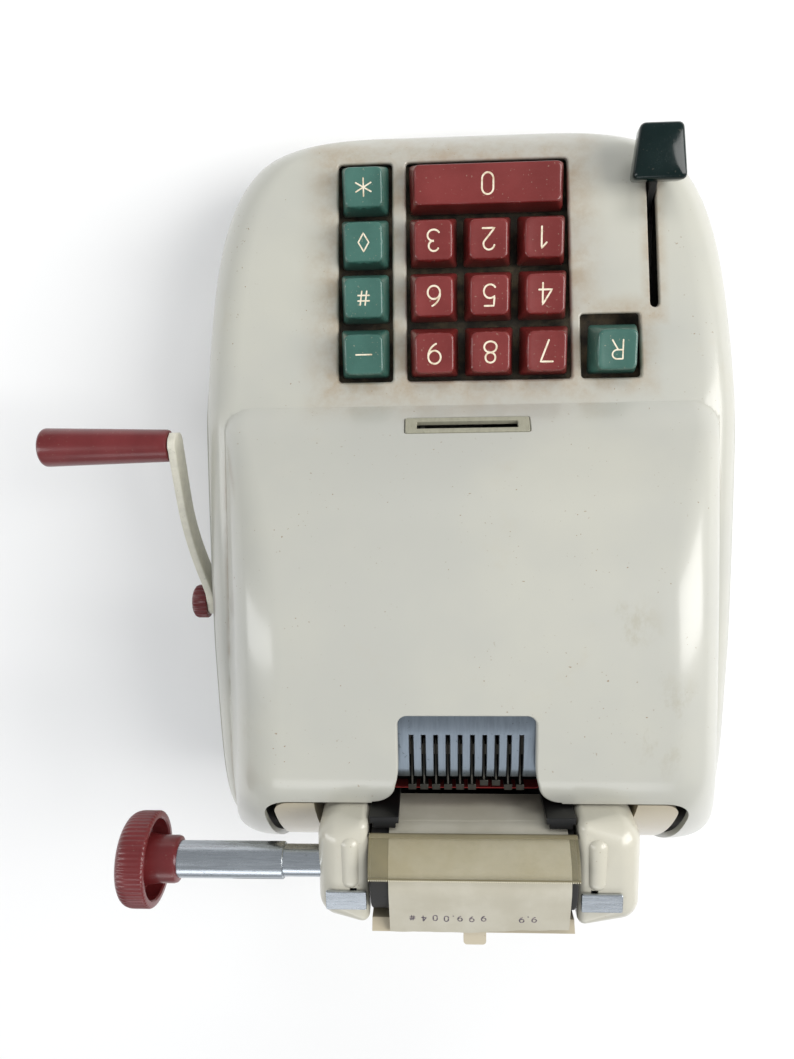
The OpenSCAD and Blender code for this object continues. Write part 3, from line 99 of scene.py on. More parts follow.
# %% Sizes of the hood
CREASE, SOFT, HOOD_Z, CREST = -36.0, 2.0, 127.0, 80.0
FOOT_W, FOOT_SPREAD, HOOD_LEAN = 89.5, 0.046, math.radians(17)
FOOT_R, HOOD_R, HOOD_LOW = 11.0, 20.0, 62.0
HOOD_END, HOOD_PLAN = 137.6, 140.0
HOOD_CURVE, BACK_CURVE, END_CURVE = 3.1, 1.6, 2.2
UPRIGHT = 1.05
print("hood:", HOOD_Z, "mm high,", round(math.degrees(HOOD_LEAN)), "degrees of lean at its sides")

# %% [markdown]
# ## The form of the case
#
# The case is a body with nearly upright sides, and a hood that rises from it. The body's top is the deck,
# which goes on as a narrow ledge beside the hood. Superellipses give the plan its full corners. The deck
# is a plane, the hood and both ends are power curves. Most functions take the distance y along the case
# and the depth d under the outer skin, so the same ones give the inner face of the sheet. UPRIGHT is
# the height that one millimetre of sheet takes up on the slope of the deck.


# %% Width of the case along its length
def superellipse(t, n):
    return max(0.0, 1.0 - abs(t) ** n) ** (1.0 / n)


def smoothstep(u):
    u = min(1.0, max(0.0, u))
    return u * u * (3 - 2 * u)


def corners(y, d):
    return superellipse(y / (FRONT - d), SQ_FRONT) if y < 0 else superellipse(y / (REAR - d), SQ_REAR)


def skirt_fade(y):
    return 1 - SKIRT_TAPER * (max(0.0, -y) / FRONT) ** 1.5


def skirt_half(y, d):
    return (SKIRT_W - d) * corners(y, d) * skirt_fade(y)


def side_half(y, d):
    fade = 1 - SIDE_TAPER * (max(0.0, TAPER_Y - y) / (TAPER_Y + FRONT)) ** 1.25
    return (SIDE_W - d) * corners(y, d) * fade


print("width of the skirt:", [round(2 * skirt_half(y, 0)) for y in (-120, 0, 120)])


# %% Height of the case along its length
def deck(y):
    return DECK_Z0 + (y + FRONT - DECK_EDGE) * SLOPE


def hood(y):
    return HOOD_Z - (HOOD_Z - deck(CREASE)) * (max(0.0, CREST - y) / (CREST - CREASE)) ** HOOD_CURVE


def fall(u, power):
    """1 at the start of a rounded end and 0 at its foot."""
    return max(0.0, 1 - max(0.0, u) ** power) ** (1 / power)


def body_top(y, d):
    ledge = deck(CREASE)
    if y > BODY_REAR:
        u = (y - BODY_REAR) / (REAR - d - BODY_REAR)
        return LOW_REAR + (ledge - d * UPRIGHT - LOW_REAR) * fall(u, END_CURVE)
    a = deck(y)
    full = (a + ledge - math.sqrt((a - ledge) ** 2 + SOFT**2)) / 2 - d * UPRIGHT
    u = 1 - (y + FRONT - d) / DECK_EDGE
    return full if u <= 0 else LOW_FRONT + (full - LOW_FRONT) * fall(u, END_CURVE)


def hood_top(y, d):
    if y > CREST:
        return LOW_REAR + (HOOD_Z - d - LOW_REAR) * fall((y - CREST) / (REAR - d - CREST), BACK_CURVE)
    return hood(y) - d * UPRIGHT


def top(y, d):
    return max(body_top(y, d), hood_top(y, d))


print("deck at the crease:", round(deck(CREASE), 1), "hood top:", round(top(60, 0), 1))

# %% [markdown]
# ## Cross-sections
#
# Cut across, the real body is a nearly straight side, a round edge and a flat top, and so is the hood.
# One function draws that line as the same number of points everywhere, from the foot up to the middle.
# Equal counts are what a loft needs: neighbouring sections can then be joined point to point.


# %% One half of a cross-section
def profile(low, start, centre, r, h, lean):
    xc, zc = centre
    pts = [low + (start - low) * t for t in np.linspace(0, 1, 16)]
    for a in np.linspace(lean, math.pi / 2, 19)[1:]:
        pts.append(np.array([xc + r * math.cos(a), zc + r * math.sin(a)]))
    pts += [np.array([xc * (1 - t), h]) for t in np.linspace(0, 1, 15)[1:-1]]
    return np.array(pts)


def section(y, d):
    """The body. The inner skin starts a little lower, so that it cuts right through the foot."""
    s, w, h = skirt_half(y, d), side_half(y, d), body_top(y, d)
    lean = math.atan((s - w) / (SIDE_Z - SKIRT))
    r = max(0.5, min(EDGE_R - d, 0.8 * (h - SKIRT), 0.9 * w))
    xc = w + (SIDE_Z - h + r) * math.tan(lean) - r / math.cos(lean)
    start = np.array([xc + r * math.cos(lean), h - r + r * math.sin(lean)])
    return profile(np.array([s, SKIRT - (1 if d > 1 else 0)]), start, (xc, h - r), r, h, lean)


def hood_section(y, d):
    """The hood. Its side leans inwards from a foot that lies inside the body."""
    h, ledge = hood_top(y, d), deck(CREASE)
    foot = (FOOT_W + FOOT_SPREAD * y) * (superellipse(y / HOOD_PLAN, SQ_REAR) if y > 0 else 1) - d
    r = FOOT_R + (HOOD_R - FOOT_R) * smoothstep((y - CREASE) / 45) - d
    start_z = h - r + r * math.sin(HOOD_LEAN)
    x0 = foot - max(0.0, start_z - ledge) * math.tan(HOOD_LEAN)
    low_z = min(start_z - 1, HOOD_LOW - d)
    low = np.array([x0 + max(0.0, start_z - low_z) * math.tan(HOOD_LEAN) * (start_z > ledge), low_z])
    return profile(low, np.array([x0, start_z]), (x0 - r * math.cos(HOOD_LEAN), h - r), r, h, HOOD_LEAN)


print("points per section:", 2 * len(section(0, 0)), "and", 2 * len(hood_section(0, 0)))


# %% [markdown]
# ## Stations
#
# A loft is only as smooth as its stations are close. They stand less than a millimetre apart where both
# ends and the crease bend, and a little over three millimetres apart where the case is nearly straight.


# %% Stations along the case, closer together where its form bends more
def stations(d):
    a = [-(FRONT - d) * 0.9995]
    a += [-(FRONT - d) + DECK_EDGE * (1 - math.cos(math.pi / 2 * i / 20)) for i in range(2, 21)]
    a += list(np.linspace(a[-1], CREASE - 8, 26)[1:])
    a += list(np.linspace(CREASE - 8, CREASE + 12, 24)[1:])
    a += list(np.linspace(CREASE + 12, BODY_REAR, 44)[1:])
    a += [BODY_REAR + (REAR - d - BODY_REAR) * math.sin(math.radians(89.5) * i / 36) for i in range(1, 37)]
    return a


def hood_stations(d):
    a = list(np.linspace(CREASE - 6, CREASE + 30, 60)) + list(np.linspace(CREASE + 30, CREST, 36)[1:])
    a += [CREST + (HOOD_END - d - CREST) * math.sin(math.pi / 2 * i / 40) for i in range(1, 41)]
    return a


print("stations:", len(stations(0)), "on the body,", len(hood_stations(0)), "on the hood")

# %% [markdown]
# ## Meshes and pieces
#
# Blender keeps the points and faces of a thing in a mesh, and its place in an object. `raw_mesh` makes both
# from plain lists, which is the shortest way for forms that are worked out. `piece` is the only door into
# the scene for geometry of the part: it gives an object its material, ties it to a CAD body, so that it
# moves with the joint, and hides the CAD nodes that it stands for.


# %% Make a mesh, and make it a piece of the part
PIECES = []


def raw_mesh(name, points, faces):
    mesh = bpy.data.meshes.new(name)
    mesh.from_pydata([tuple(p) for p in metres(points)], [], [tuple(f) for f in faces])
    mesh.validate()
    obj = bpy.data.objects.new(name, mesh)
    bpy.context.scene.collection.objects.link(obj)
    return obj


def fix_normals(obj):
    bm = bmesh.new()
    bm.from_mesh(obj.data)
    bmesh.ops.recalc_face_normals(bm, faces=bm.faces)
    bm.to_mesh(obj.data)
    bm.free()
    return obj


def smooth(obj, angle=35.0):
    obj.data.shade_smooth()
    obj.data.set_sharp_from_angle(angle=math.radians(angle))
    return obj


def piece(obj, material, body, stands_for=(), angle=35.0):
    if angle:
        smooth(obj, angle)
    obj.data.materials.clear()
    obj.data.materials.append(material)
    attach(obj, body)
    if stands_for:
        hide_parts(*stands_for)
    PIECES.append(obj.name)
    return obj


print("mesh helpers ready, pieces so far:", len(PIECES))

# %% [markdown]
# ## Lofts
#
# A loft joins a row of rings of points with four-sided faces, as sheet metal is drawn over a row of ribs.
# It suits every part here whose section changes along one line: the case, the caps, the crank arm.


# %% Loft rings of equal length into a skin
def loft(rings):
    m = len(rings[0])
    points = np.vstack(rings)
    faces = []
    for i in range(len(rings) - 1):
        for j in range(m):
            k = (j + 1) % m
            faces.append((i * m + j, i * m + k, (i + 1) * m + k, (i + 1) * m + j))
    faces.append(tuple(range(m - 1, -1, -1)))
    faces.append(tuple((len(rings) - 1) * m + j for j in range(m)))
    return points, faces


def mirrored_loft(places, shape, d):
    rings = []
    for y in places(d):
        s = shape(y, d)
        both = np.vstack([s, [[0.0, s[-1, 1]]], s[::-1] * (-1, 1)])
        rings.append(np.column_stack([both[:, 0], np.full(len(both), y), both[:, 1]]))
    return loft(rings)


def body_loft(d):
    return mirrored_loft(stations, section, d)


def hood_loft(d):
    return mirrored_loft(hood_stations, hood_section, d)


print("points of the body skin:", len(body_loft(0)[0]))

# %% [markdown]
# ## Outlines
#
# Openings, caps and covers are rounded rectangles in plan. `rounded` can grow one outwards, which keeps
# the number of its points, so that rings of one cap or cutter always fit each other. `side` adds points
# along the straight sides, where a dished face has to bend.


# %% Rounded rectangles that can grow outward
def between_points(start, end, n):
    """n points on the straight line from start to end, without its ends."""
    start, end = np.array(start), np.array(end)
    return [tuple(start + (end - start) * k / (n + 1)) for k in range(1, n + 1)]


def rounded(x0, x1, y0, y1, r, grow=0.0, n=9, side=0):
    r = max(0.02, r + grow)
    x0, x1, y0, y1 = x0 - grow, x1 + grow, y0 - grow, y1 + grow
    pts = []
    middles = ((x1 - r, y1 - r), (x0 + r, y1 - r), (x0 + r, y0 + r), (x1 - r, y0 + r))
    for (cx, cy), a0 in zip(middles, (0, 90, 180, 270)):
        angles = np.radians(np.linspace(a0, a0 + 90, n))
        bow = [(cx + r * math.cos(a), cy + r * math.sin(a)) for a in angles]
        if pts:
            pts += between_points(pts[-1], bow[0], side)
        pts += bow
    pts += between_points(pts[-1], pts[0], side)
    return np.array(pts)


def resample(pts, n):
    """The same closed outline with n points at equal steps."""
    p = np.vstack([pts, pts[:1]])
    s = np.concatenate([[0], np.cumsum(np.linalg.norm(np.diff(p, axis=0), axis=1))])
    t = np.linspace(0, s[-1], n, endpoint=False)
    return np.column_stack([np.interp(t, s, p[:, k]) for k in range(p.shape[1])])


print("outline of a key:", len(rounded(0, 17, 0, 17, 1.2)), "points")

# %% [markdown]
# ## Cutters
#
# A punched opening in sheet metal has a rolled lip. It could be a bevel on the cut edge, but bevels break
# where an edge crosses a curved skin. Here each cutter is a loft whose outline widens just under the
# surface, at levels that follow the slope of the deck, so one boolean cut leaves the hole and its lip
# together. LIP lists those levels: height over the surface, and growth of the outline.

# %% Cutters with a flared mouth
LIP = [(-40, 0), (-1.5, 0), (-0.95, 0.04), (-0.6, 0.14), (-0.32, 0.32), (-0.12, 0.56), (0, 0.85)]
LIP += [(0.4, 1.9), (9, 2.2)]


def lip_cutter(name, outline, surface, scale=1.0):
    """outline(grow) gives the rim, surface(x, y) the height that the lip follows."""
    rings = []
    for h, g in LIP:
        o = outline(g * scale)
        z = [surface(x, y) + h * (scale if -2 < h < 2 else 1) for x, y in o]
        rings.append(np.column_stack([o, z]))
    return fix_normals(raw_mesh(name, *loft(rings)))


def box_cutter(name, outline, z0, z1):
    rings = [np.column_stack([outline, np.full(len(outline), z)]) for z in (z0, z1)]
    return fix_normals(raw_mesh(name, *loft(rings)))


def side_cutter(name, profile, x0, x1):
    """A profile in Y and Z drawn across the machine."""
    rings = [np.column_stack([np.full(len(profile), x), profile]) for x in (x0, x1)]
    return fix_normals(raw_mesh(name, *loft(rings)))


def cut(obj, cutter, operation="DIFFERENCE"):
    mod = obj.modifiers.new("cut", "BOOLEAN")
    mod.object, mod.operation, mod.solver = cutter, operation, "MANIFOLD"
    dg = bpy.context.evaluated_depsgraph_get()
    mesh = bpy.data.meshes.new_from_object(obj.evaluated_get(dg))
    obj.modifiers.clear()
    old = obj.data
    obj.data = mesh
    bpy.data.meshes.remove(old)
    bpy.data.objects.remove(cutter)
    return obj


print("lip levels:", len(LIP))

# %% [markdown]
# ## Normals of the cut skins
#
# Glossy enamel shows every dent. A boolean leaves long, thin faces beside a hole, and their averaged
# normals would put wrinkles into the highlights. So the smooth normals of the uncut loft are carried over:
# each face of the cut shell looks for the face of the loft that it came from, and takes its normals. Where
# the body and the hood meet, the normals of both are averaged, which rounds the crease.


# %% Carry the smooth normals of the uncut skin over to the cut one
SAME_FACE = 2e-5
def skin_tree(points, faces):
    mesh = bpy.data.meshes.new("skin")
    mesh.from_pydata([tuple(p) for p in metres(points)], [], faces)
    mesh.shade_smooth()
    verts = [v.co.copy() for v in mesh.vertices]
    normals = [v.normal.copy() for v in mesh.vertices]
    polys = [tuple(p.vertices) for p in mesh.polygons]
    facing = [p.normal.copy() for p in mesh.polygons]
    bpy.data.meshes.remove(mesh)
    return BVHTree.FromPolygons(verts, polys), verts, normals, polys, facing


def normal_at(skin, co, facing_way):
    """The smooth normal of an uncut skin at a point, on the side of facing_way."""
    tree, verts, normals, polys, _ = skin
    near, _, k, _ = tree.find_nearest(co)
    ring = polys[k]
    n = Vector((0, 0, 0))
    for share, i in zip(poly_3d_calc([verts[i] for i in ring], near), ring):
        n += normals[i] * share
    return (-n if n.dot(facing_way) < 0 else n).normalized()


def carry_normals(obj, skins):
    mesh = obj.data
    mesh.shade_smooth()
    mesh.set_sharp_from_angle(angle=math.radians(38))
    loops = [c.vector.copy() for c in mesh.corner_normals]
    taken = 0
    for p in mesh.polygons:
        for skin in skins:
            _, _, index, dist = skin[0].find_nearest(p.center)
            if dist > SAME_FACE or abs(skin[4][index].dot(p.normal)) < 0.985:
                continue
            for li in p.loop_indices:
                co = mesh.vertices[mesh.loops[li].vertex_index].co
                loops[li] = normal_at(skin, co, p.normal)
                for other in skins:
                    _, _, k, gap = other[0].find_nearest(co)
                    if other is not skin and gap < SAME_FACE:
                        m = other[4][k].normalized()
                        loops[li] = (loops[li] + (m if m.dot(p.normal) > 0 else -m)).normalized()
            taken += 1
            break
    mesh.normals_split_custom_set([tuple(n) for n in loops])
    return taken


print("a face counts as the same within", round(SAME_FACE * 1000, 2), "mm")

# %% [markdown]
# ## Node materials
#
# A material is a graph of nodes, and a long one is hard to read as a list of links. `Socket` wraps an output
# and overloads the arithmetic operators, also in their reflected forms, so that shader maths reads like
# arithmetic: 1 - mask adds a Math node. `Paint` holds one material; its method `node` adds any other node
# from its type, its settings and its input values.


# %% Arithmetic on node sockets
class Socket:
    """An output of a node, with the arithmetic operators."""

    def __init__(self, paint, out):
        self.paint, self.out = paint, out

    def math(self, operation, a, b=0.5, clamp=False):
        settings = {"operation": operation, "use_clamp": clamp}
        return self.paint.node("ShaderNodeMath", settings, {0: a, 1: b})

    def __add__(self, other):
        return self.math("ADD", self, other)

    def __radd__(self, other):
        return self.math("ADD", other, self)

    def __sub__(self, other):
        return self.math("SUBTRACT", self, other)

    def __rsub__(self, other):
        return self.math("SUBTRACT", other, self)

    def __mul__(self, other):
        return self.math("MULTIPLY", self, other)

    def __rmul__(self, other):
        return self.math("MULTIPLY", other, self)

    def __pow__(self, other):
        return self.math("POWER", self, other)

    def __rpow__(self, other):
        return self.math("POWER", other, self)

    def clamp(self):
        return self.math("ADD", self, 0.0, clamp=True)

    def size(self):
        return self.math("ABSOLUTE", self)

    def at_least(self, other):
        return self.math("MAXIMUM", self, other)


print("besides its operators a Socket has", [m for m in vars(Socket) if not m.startswith("_")])


# %% A material and its nodes
class Paint:
    """One node material. Constants go straight onto the shader's sockets."""

    def __init__(self, name, colour, roughness=0.5, metallic=0.0, coat=0.0, **constants):
        self.material = bpy.data.materials.new(name)
        self.material.use_nodes = True
        self.tree = self.material.node_tree
        self.shader = self.tree.nodes["Principled BSDF"]
        self.shader.inputs["Base Color"].default_value = (*colour, 1.0)
        self.shader.inputs["Roughness"].default_value = roughness
        self.shader.inputs["Metallic"].default_value = metallic
        self.shader.inputs["Coat Weight"].default_value = coat
        for key, value in constants.items():
            self.shader.inputs[key.replace("_", " ")].default_value = value
        self.place = self.node("ShaderNodeTexCoord", {}, {}, "Object")

    def node(self, kind, settings=None, inputs=None, out=0):
        n = self.tree.nodes.new(kind)
        for key, value in (settings or {}).items():
            setattr(n, key, value)
        for key, value in (inputs or {}).items():
            if isinstance(value, Socket):
                self.tree.links.new(value.out, n.inputs[key])
            else:
                n.inputs[key].default_value = value
        return Socket(self, n.outputs[out])

    def feed(self, name, value):
        self.tree.links.new(value.out, self.shader.inputs[name])
        return self

    def noise(self, scale, detail=3.0, rough=0.55, at=None):
        values = {"Vector": at or self.place, "Scale": scale, "Detail": detail, "Roughness": rough}
        return self.node("ShaderNodeTexNoise", {}, values)

    def stretched(self, x, y, z):
        return self.node("ShaderNodeMapping", {}, {"Vector": self.place, "Scale": (x, y, z)})

    def ramp(self, value, low, high):
        """0 below low, 1 above high, smooth between."""
        settings = {"interpolation_type": "SMOOTHSTEP"}
        return self.node("ShaderNodeMapRange", settings, {0: value, 1: low, 2: high})

    def mix(self, factor, a, b):
        def colour(c):
            return c if isinstance(c, Socket) else (*c, 1.0)

        return self.node("ShaderNodeMix", {"data_type": "RGBA"}, {0: factor, 6: colour(a), 7: colour(b)}, 2)

    def bump(self, height, strength=0.2, distance=0.0002):
        values = {"Height": height, "Strength": strength, "Distance": distance}
        return self.feed("Normal", self.node("ShaderNodeBump", {}, values))


print("a Paint has", [m for m in vars(Paint) if not m.startswith("_")])


# %% Colours are written as seen on screen and turned into linear light
def srgb(r, g, b):
    def linear(v):
        v /= 255.0
        return v / 12.92 if v <= 0.04045 else ((v + 0.055) / 1.055) ** 2.4

    return (linear(r), linear(g), linear(b))


def darker(c, k):
    return tuple(v * k for v in c)


def along(paint, axis):
    """One coordinate of the object's own space, in metres."""
    return paint.node("ShaderNodeSeparateXYZ", {}, {0: paint.place}, axis)


print("warm enamel:", [round(v, 3) for v in srgb(226, 222, 210)])

# %% [markdown]
# ## Places of the keys
#
# The keys stand in a grid of about three quarters of an inch, with a small gap between them and the deck.
# The grid comes before the enamel, because years of fingers left their grime round these openings.

# %% Places of the keys, the lever and the openings
PITCH, KEY_BASE, KEY_TOP, KEY_H, KEY_SINK, GAP = 19.4, 17.0, 13.6, 11.5, 4.0, 1.3
DIGITS_X, FUNC_X, REPEAT_X, ROW4, LEVER_X = -7.6, 36.5, -51.2, -74.3, -66.5
CAP = KEY_BASE / 2
ROWS = [ROW4 + i * PITCH for i in (-2, -1, 0, 1)]
OPEN_Y = (ROWS[0] - CAP - GAP, ROWS[3] + CAP + GAP)
print("rows of keys at", [round(y, 1) for y in ROWS])

# %% [markdown]
# ## Enamel
#
# The case has a warm white enamel with an uneven tone, fine brown specks, a few smudges on the hood
# and brown grime that gathered along the key openings and in the crease at the foot of the hood.
# A painted image could hold all that, but a worked-out mask keeps its place when a size changes: each mask
# below is a distance from the thing that caught the dirt, broken up by noise. Mix nodes then lay one layer
# over the other, as they came onto the real case.

# %% Masks for the places where dirt gathers
def grime_zone(paint, x0, x1, y0, y1, reach):
    """1 at the rim of a rectangle in plan (case frame, mm), fading over the reach."""
    cx, cy = (x0 + x1) / 2 - OX, (y0 + y1) / 2 - OY
    dx = (along(paint, 0) - cx / 1000).size() - (x1 - x0) / 2000
    dy = (along(paint, 1) - cy / 1000).size() - (y1 - y0) / 2000
    return 1.0 - paint.ramp(dx.at_least(dy), 0.0, reach / 1000)


def opening_grime(p):
    """Grime beside the keys, beside the repeat key and along the slot of the lever."""
    reach = CAP + GAP
    dirt = grime_zone(p, DIGITS_X - PITCH - reach, FUNC_X + reach, *OPEN_Y, 16)
    dirt = dirt.at_least(grime_zone(p, REPEAT_X - reach, REPEAT_X + 11, OPEN_Y[1] - 22, OPEN_Y[1], 9))
    dirt = dirt.at_least(grime_zone(p, LEVER_X - 1, LEVER_X + 1, -116, -67, 5))
    return dirt * (0.25 + 0.75 * p.ramp(p.noise(110, 6, 0.7), 0.35, 0.7)) * 0.55


def crease_grime(p):
    """A thin, broken line along the foot of the hood, which runs a little downhill to the rear."""
    foot_w, ledge_z, downhill = (FOOT_W - 0.6) / 1000, 0.0747, 0.014
    side = (along(p, 0) + OX / 1000).size() - (foot_w + FOOT_SPREAD * (along(p, 1) + OY / 1000))
    up = along(p, 2) - ledge_z + downhill * along(p, 1)
    line = 1.0 - p.ramp((side * side + up * up) ** 0.5, 0.0002, 0.0026)
    return line * p.ramp(along(p, 1), -0.03, -0.01) * p.ramp(p.noise(45, 4), 0.35, 0.62)


def smudge(p, cx, cy, reach):
    """A blurred patch round a point in plan, in millimetres."""
    dx, dy = along(p, 0) - (cx - OX) / 1000, along(p, 1) - (cy - OY) / 1000
    blot = 1.0 - p.ramp((dx * dx + dy * dy) ** 0.5, reach / 4000, reach / 1000)
    return p.ramp(p.noise(62, 7, 0.72, p.stretched(1, 0.55, 1)), 0.52, 0.66) * blot


print("grime lies round the openings, from", round(OPEN_Y[0], 1), "to", round(OPEN_Y[1], 1))

# %% Warm white enamel with specks, smudges and grime
SMUDGES = ((-60, 62, 24), (-48, 30, 14), (66, 66, 16))


def enamel(name, colour, specks=1.0, zones=True):
    p = Paint(name, colour, roughness=0.3, coat=0.5, Coat_Roughness=0.15)
    broad, fine = p.noise(14, 4), p.noise(420, 2)
    warmer = (min(1, colour[0] * 1.03), colour[1] * 1.02, colour[2] * 0.985)
    tone = p.mix(p.ramp(broad, 0.35, 0.7), darker(colour, 0.94), warmer)
    dots = p.ramp(p.noise(900, 1.5), 0.715, 0.76) * p.ramp(p.noise(60, 2), 0.42, 0.62) * (0.75 * specks)
    skin = p.mix(dots, tone, srgb(128, 98, 62))
    stain = p.ramp(p.noise(38, 5, 0.65), 0.6, 0.8) * (0.16 * specks)
    skin = p.mix(stain, skin, srgb(176, 158, 122))
    rough = 0.22 + 0.16 * broad + 0.06 * fine
    if zones:
        dirt = opening_grime(p)
        skin = p.mix(dirt, skin, srgb(150, 122, 84))
        skin = p.mix(crease_grime(p) * 0.6, skin, srgb(122, 100, 74))
        for place in SMUDGES:
            skin = p.mix(smudge(p, *place) * 0.3, skin, srgb(150, 140, 112))
        rough = rough + 0.3 * dirt
    p.feed("Base Color", skin).feed("Roughness", rough.clamp())
    p.bump(p.noise(260, 2) * 0.7 + fine * 0.3, 0.05, 0.0003)
    return p.material


CASE = enamel("case_enamel", srgb(184, 184, 176))
COVER = enamel("cover_enamel", srgb(193, 190, 177), 0.8, zones=False)
CREAM = enamel("cream_enamel", srgb(186, 176, 154), 1.3, zones=False)
print("enamels:", CASE.name, COVER.name, CREAM.name)

# %% [markdown]
# ## Plastics
#
# The caps and knobs are moulded in red and green plastic with a dull sheen. One function makes them all,
# because they differ only in colour, gloss and age: a cloudy tone, hairline scratches in two directions and
# flecks of dust. The scratches are the places where two stretched noises are equal, which gives thin lines.


# %% Moulded plastics
def plastic(name, colour, gloss=0.3, dust=0.25, wear=0.15, shine=0.5):
    p = Paint(name, colour, gloss, coat=0.4 * shine, Coat_Roughness=0.1, Specular_IOR_Level=shine)
    cloud = p.noise(55, 4)
    light = tuple(min(1.0, v * 1.12 + 0.004) for v in colour)
    tone = p.mix(p.ramp(cloud, 0.3, 0.75), darker(colour, 0.86), light)
    lines = p.noise(90, 2, 0.5, p.stretched(1, 12, 1)) - p.noise(70, 2, 0.5, p.stretched(10, 1, 1))
    hair = p.ramp(lines.size(), 0.0, 0.02)
    tone = p.mix((1.0 - hair) * wear, tone, tuple(min(1.0, v * 1.4 + 0.02) for v in colour))
    flecks = p.ramp(p.noise(1100, 1), 0.7, 0.76) * dust
    tone = p.mix(flecks, tone, srgb(196, 182, 160))
    p.feed("Base Color", tone)
    p.feed("Roughness", (gloss - 0.08 + 0.2 * cloud + 0.12 * (1.0 - hair)).clamp())
    p.bump(p.noise(300, 3) + hair * 0.15, 0.06, 0.0002)
    return p.material


RED = plastic("red_plastic", srgb(114, 38, 36))
GREEN = plastic("green_plastic", srgb(58, 100, 90))
KNOB_RED = plastic("knob_red", srgb(102, 29, 31), 0.3, 0.1, 0.07)
DARK_GREEN = plastic("lever_green", srgb(2, 24, 23), 0.14, 0.06, 0.04, 0.28)
OFF_WHITE = plastic("off_white", srgb(205, 200, 184), 0.4, 0.2)
INK = Paint("legend_ink", srgb(226, 214, 190), 0.45)
worn = INK.ramp(INK.noise(600, 3), 0.4, 0.75)
INK.feed("Base Color", INK.mix(worn, srgb(229, 218, 196), srgb(196, 176, 146)))
LEGEND = INK.material
print("plastics:", [m.name for m in (RED, GREEN, KNOB_RED, DARK_GREEN, OFF_WHITE, LEGEND)])

# %% [markdown]
# ## Metals and paints
#
# Turned and rolled metal carries fine lines in the direction in which it was worked. A noise that is
# stretched along one axis draws them. `streak` says how far for each axis, and the same function with no
# metallic part gives the painted and the rubber pieces.


# %% Metals: scratched chrome, brushed steel, brass, painted black, rubber
def metal(name, colour, rough, streak, marks=0.5, metallic=1.0, bump=0.04):
    p = Paint(name, colour, roughness=rough, metallic=metallic)
    lines = p.noise(130, 4, 0.6, p.stretched(*streak))
    cloud = p.noise(30, 4)
    spots = p.ramp(p.noise(700, 2), 0.66, 0.74) * marks
    tone = p.mix(p.ramp(lines, 0.3, 0.7), darker(colour, 0.86), colour)
    tone = p.mix(spots * 0.6, tone, darker(colour, 0.35))
    p.feed("Base Color", tone)
    p.feed("Roughness", (rough - 0.05 + 0.14 * lines + 0.1 * cloud + 0.3 * spots).clamp())
    p.bump(lines + 0.4 * cloud, bump, 0.0002)
    return p.material


CHROME = metal("chrome", srgb(196, 202, 208), 0.2, (1, 14, 14), 0.5)
COMB = metal("comb_chrome", srgb(132, 142, 152), 0.3, (9, 1, 1), 0.9)
STEEL = metal("steel", srgb(150, 149, 144), 0.4, (1, 10, 10), 0.5)
BRASS = metal("brass", srgb(176, 148, 92), 0.36, (1, 8, 8))
BLACK = metal("black_paint", srgb(16, 16, 16), 0.3, (3, 3, 3), 0.3, 0.0, 0.08)
ARM = metal("arm_enamel", srgb(214, 211, 196), 0.3, (2, 2, 2), 0.5, 0.0, 0.05)
BASE = metal("base_paint", srgb(110, 112, 108), 0.5, (3, 3, 3), 0.3, 0.0, 0.08)
RUBBER = metal("rubber", srgb(38, 37, 36), 0.62, (4, 4, 4), 0.4, 0.0, 0.15)
TYPE = metal("type_steel", srgb(92, 90, 84), 0.36, (8, 1, 1), 0.6)
FRAME = metal("indicator_plate", srgb(158, 156, 138), 0.42, (6, 2, 2), 0.6, 0.0, 0.08)
print("finishes so far:", len(bpy.data.materials))

# %% [markdown]
# ## Dusty and thin materials
#
# The key bed is dark paint under a film of brown dust. Paper shows fibres and a slight yellowing, and its
# colours are set darker than the paper's own as painted shade; the print on it is broken ink. The ribbon is
# black cloth with a red upper edge. Each has its own few nodes, because no two of them share a way of
# ageing.

# %% Key bed, paper and print
p = Paint("bed_paint", srgb(60, 56, 46), 0.75)
dust = p.ramp(p.noise(120, 6, 0.7), 0.38, 0.7)
p.feed("Base Color", p.mix(dust, srgb(48, 45, 38), srgb(104, 92, 72))).feed("Roughness", 0.6 + 0.3 * dust)
BED = p.bump(dust, 0.15).material

# Painted shade: the paper's colours are set darker than its own, for the shade that lies on the strip;
# fibres and yellowing are its own.
p = Paint("paper", srgb(184, 180, 166), 0.85)
fibre = p.noise(1900, 3, 0.6)
p.feed("Base Color", p.mix(p.ramp(p.noise(70, 4), 0.3, 0.75), srgb(176, 171, 155), srgb(188, 184, 170)))
p.feed("Roughness", 0.78 + 0.15 * fibre)
PAPER_WITH_PAINTED_SHADE = p.bump(fibre, 0.1).material

p = Paint("print_ink", srgb(86, 78, 88), 0.7)
patch = p.ramp(p.noise(1500, 2), 0.4, 0.62)
p.feed("Base Color", p.mix(patch, srgb(74, 66, 80), srgb(138, 128, 128)))
PRINT = p.feed("Roughness", 0.65 + 0.2 * patch).material
print("dusty and printed:", BED.name, PAPER_WITH_PAINTED_SHADE.name, PRINT.name)

# %% Ribbon and scale strip
p = Paint("ribbon_cloth", srgb(92, 24, 24), 0.8)
weave = p.noise(1200, 2, 0.5, p.stretched(1, 1, 4))
red = p.ramp(along(p, 2), 0.1105, 0.111)
p.feed("Base Color", p.mix(red, srgb(26, 22, 24), srgb(128, 30, 28))).feed("Roughness", 0.7 + 0.2 * weave)
RIBBON = p.bump(weave, 0.2).material

p = Paint("scale_strip", srgb(40, 40, 38), 0.5)
p.feed("Roughness", 0.4 + 0.3 * p.noise(300, 3))
p.feed("Base Color", p.mix(p.ramp(p.noise(160, 4), 0.4, 0.7), srgb(32, 32, 30), srgb(66, 62, 54)))
SCALE = p.material
print("ribbon and scale:", RIBBON.name, SCALE.name)

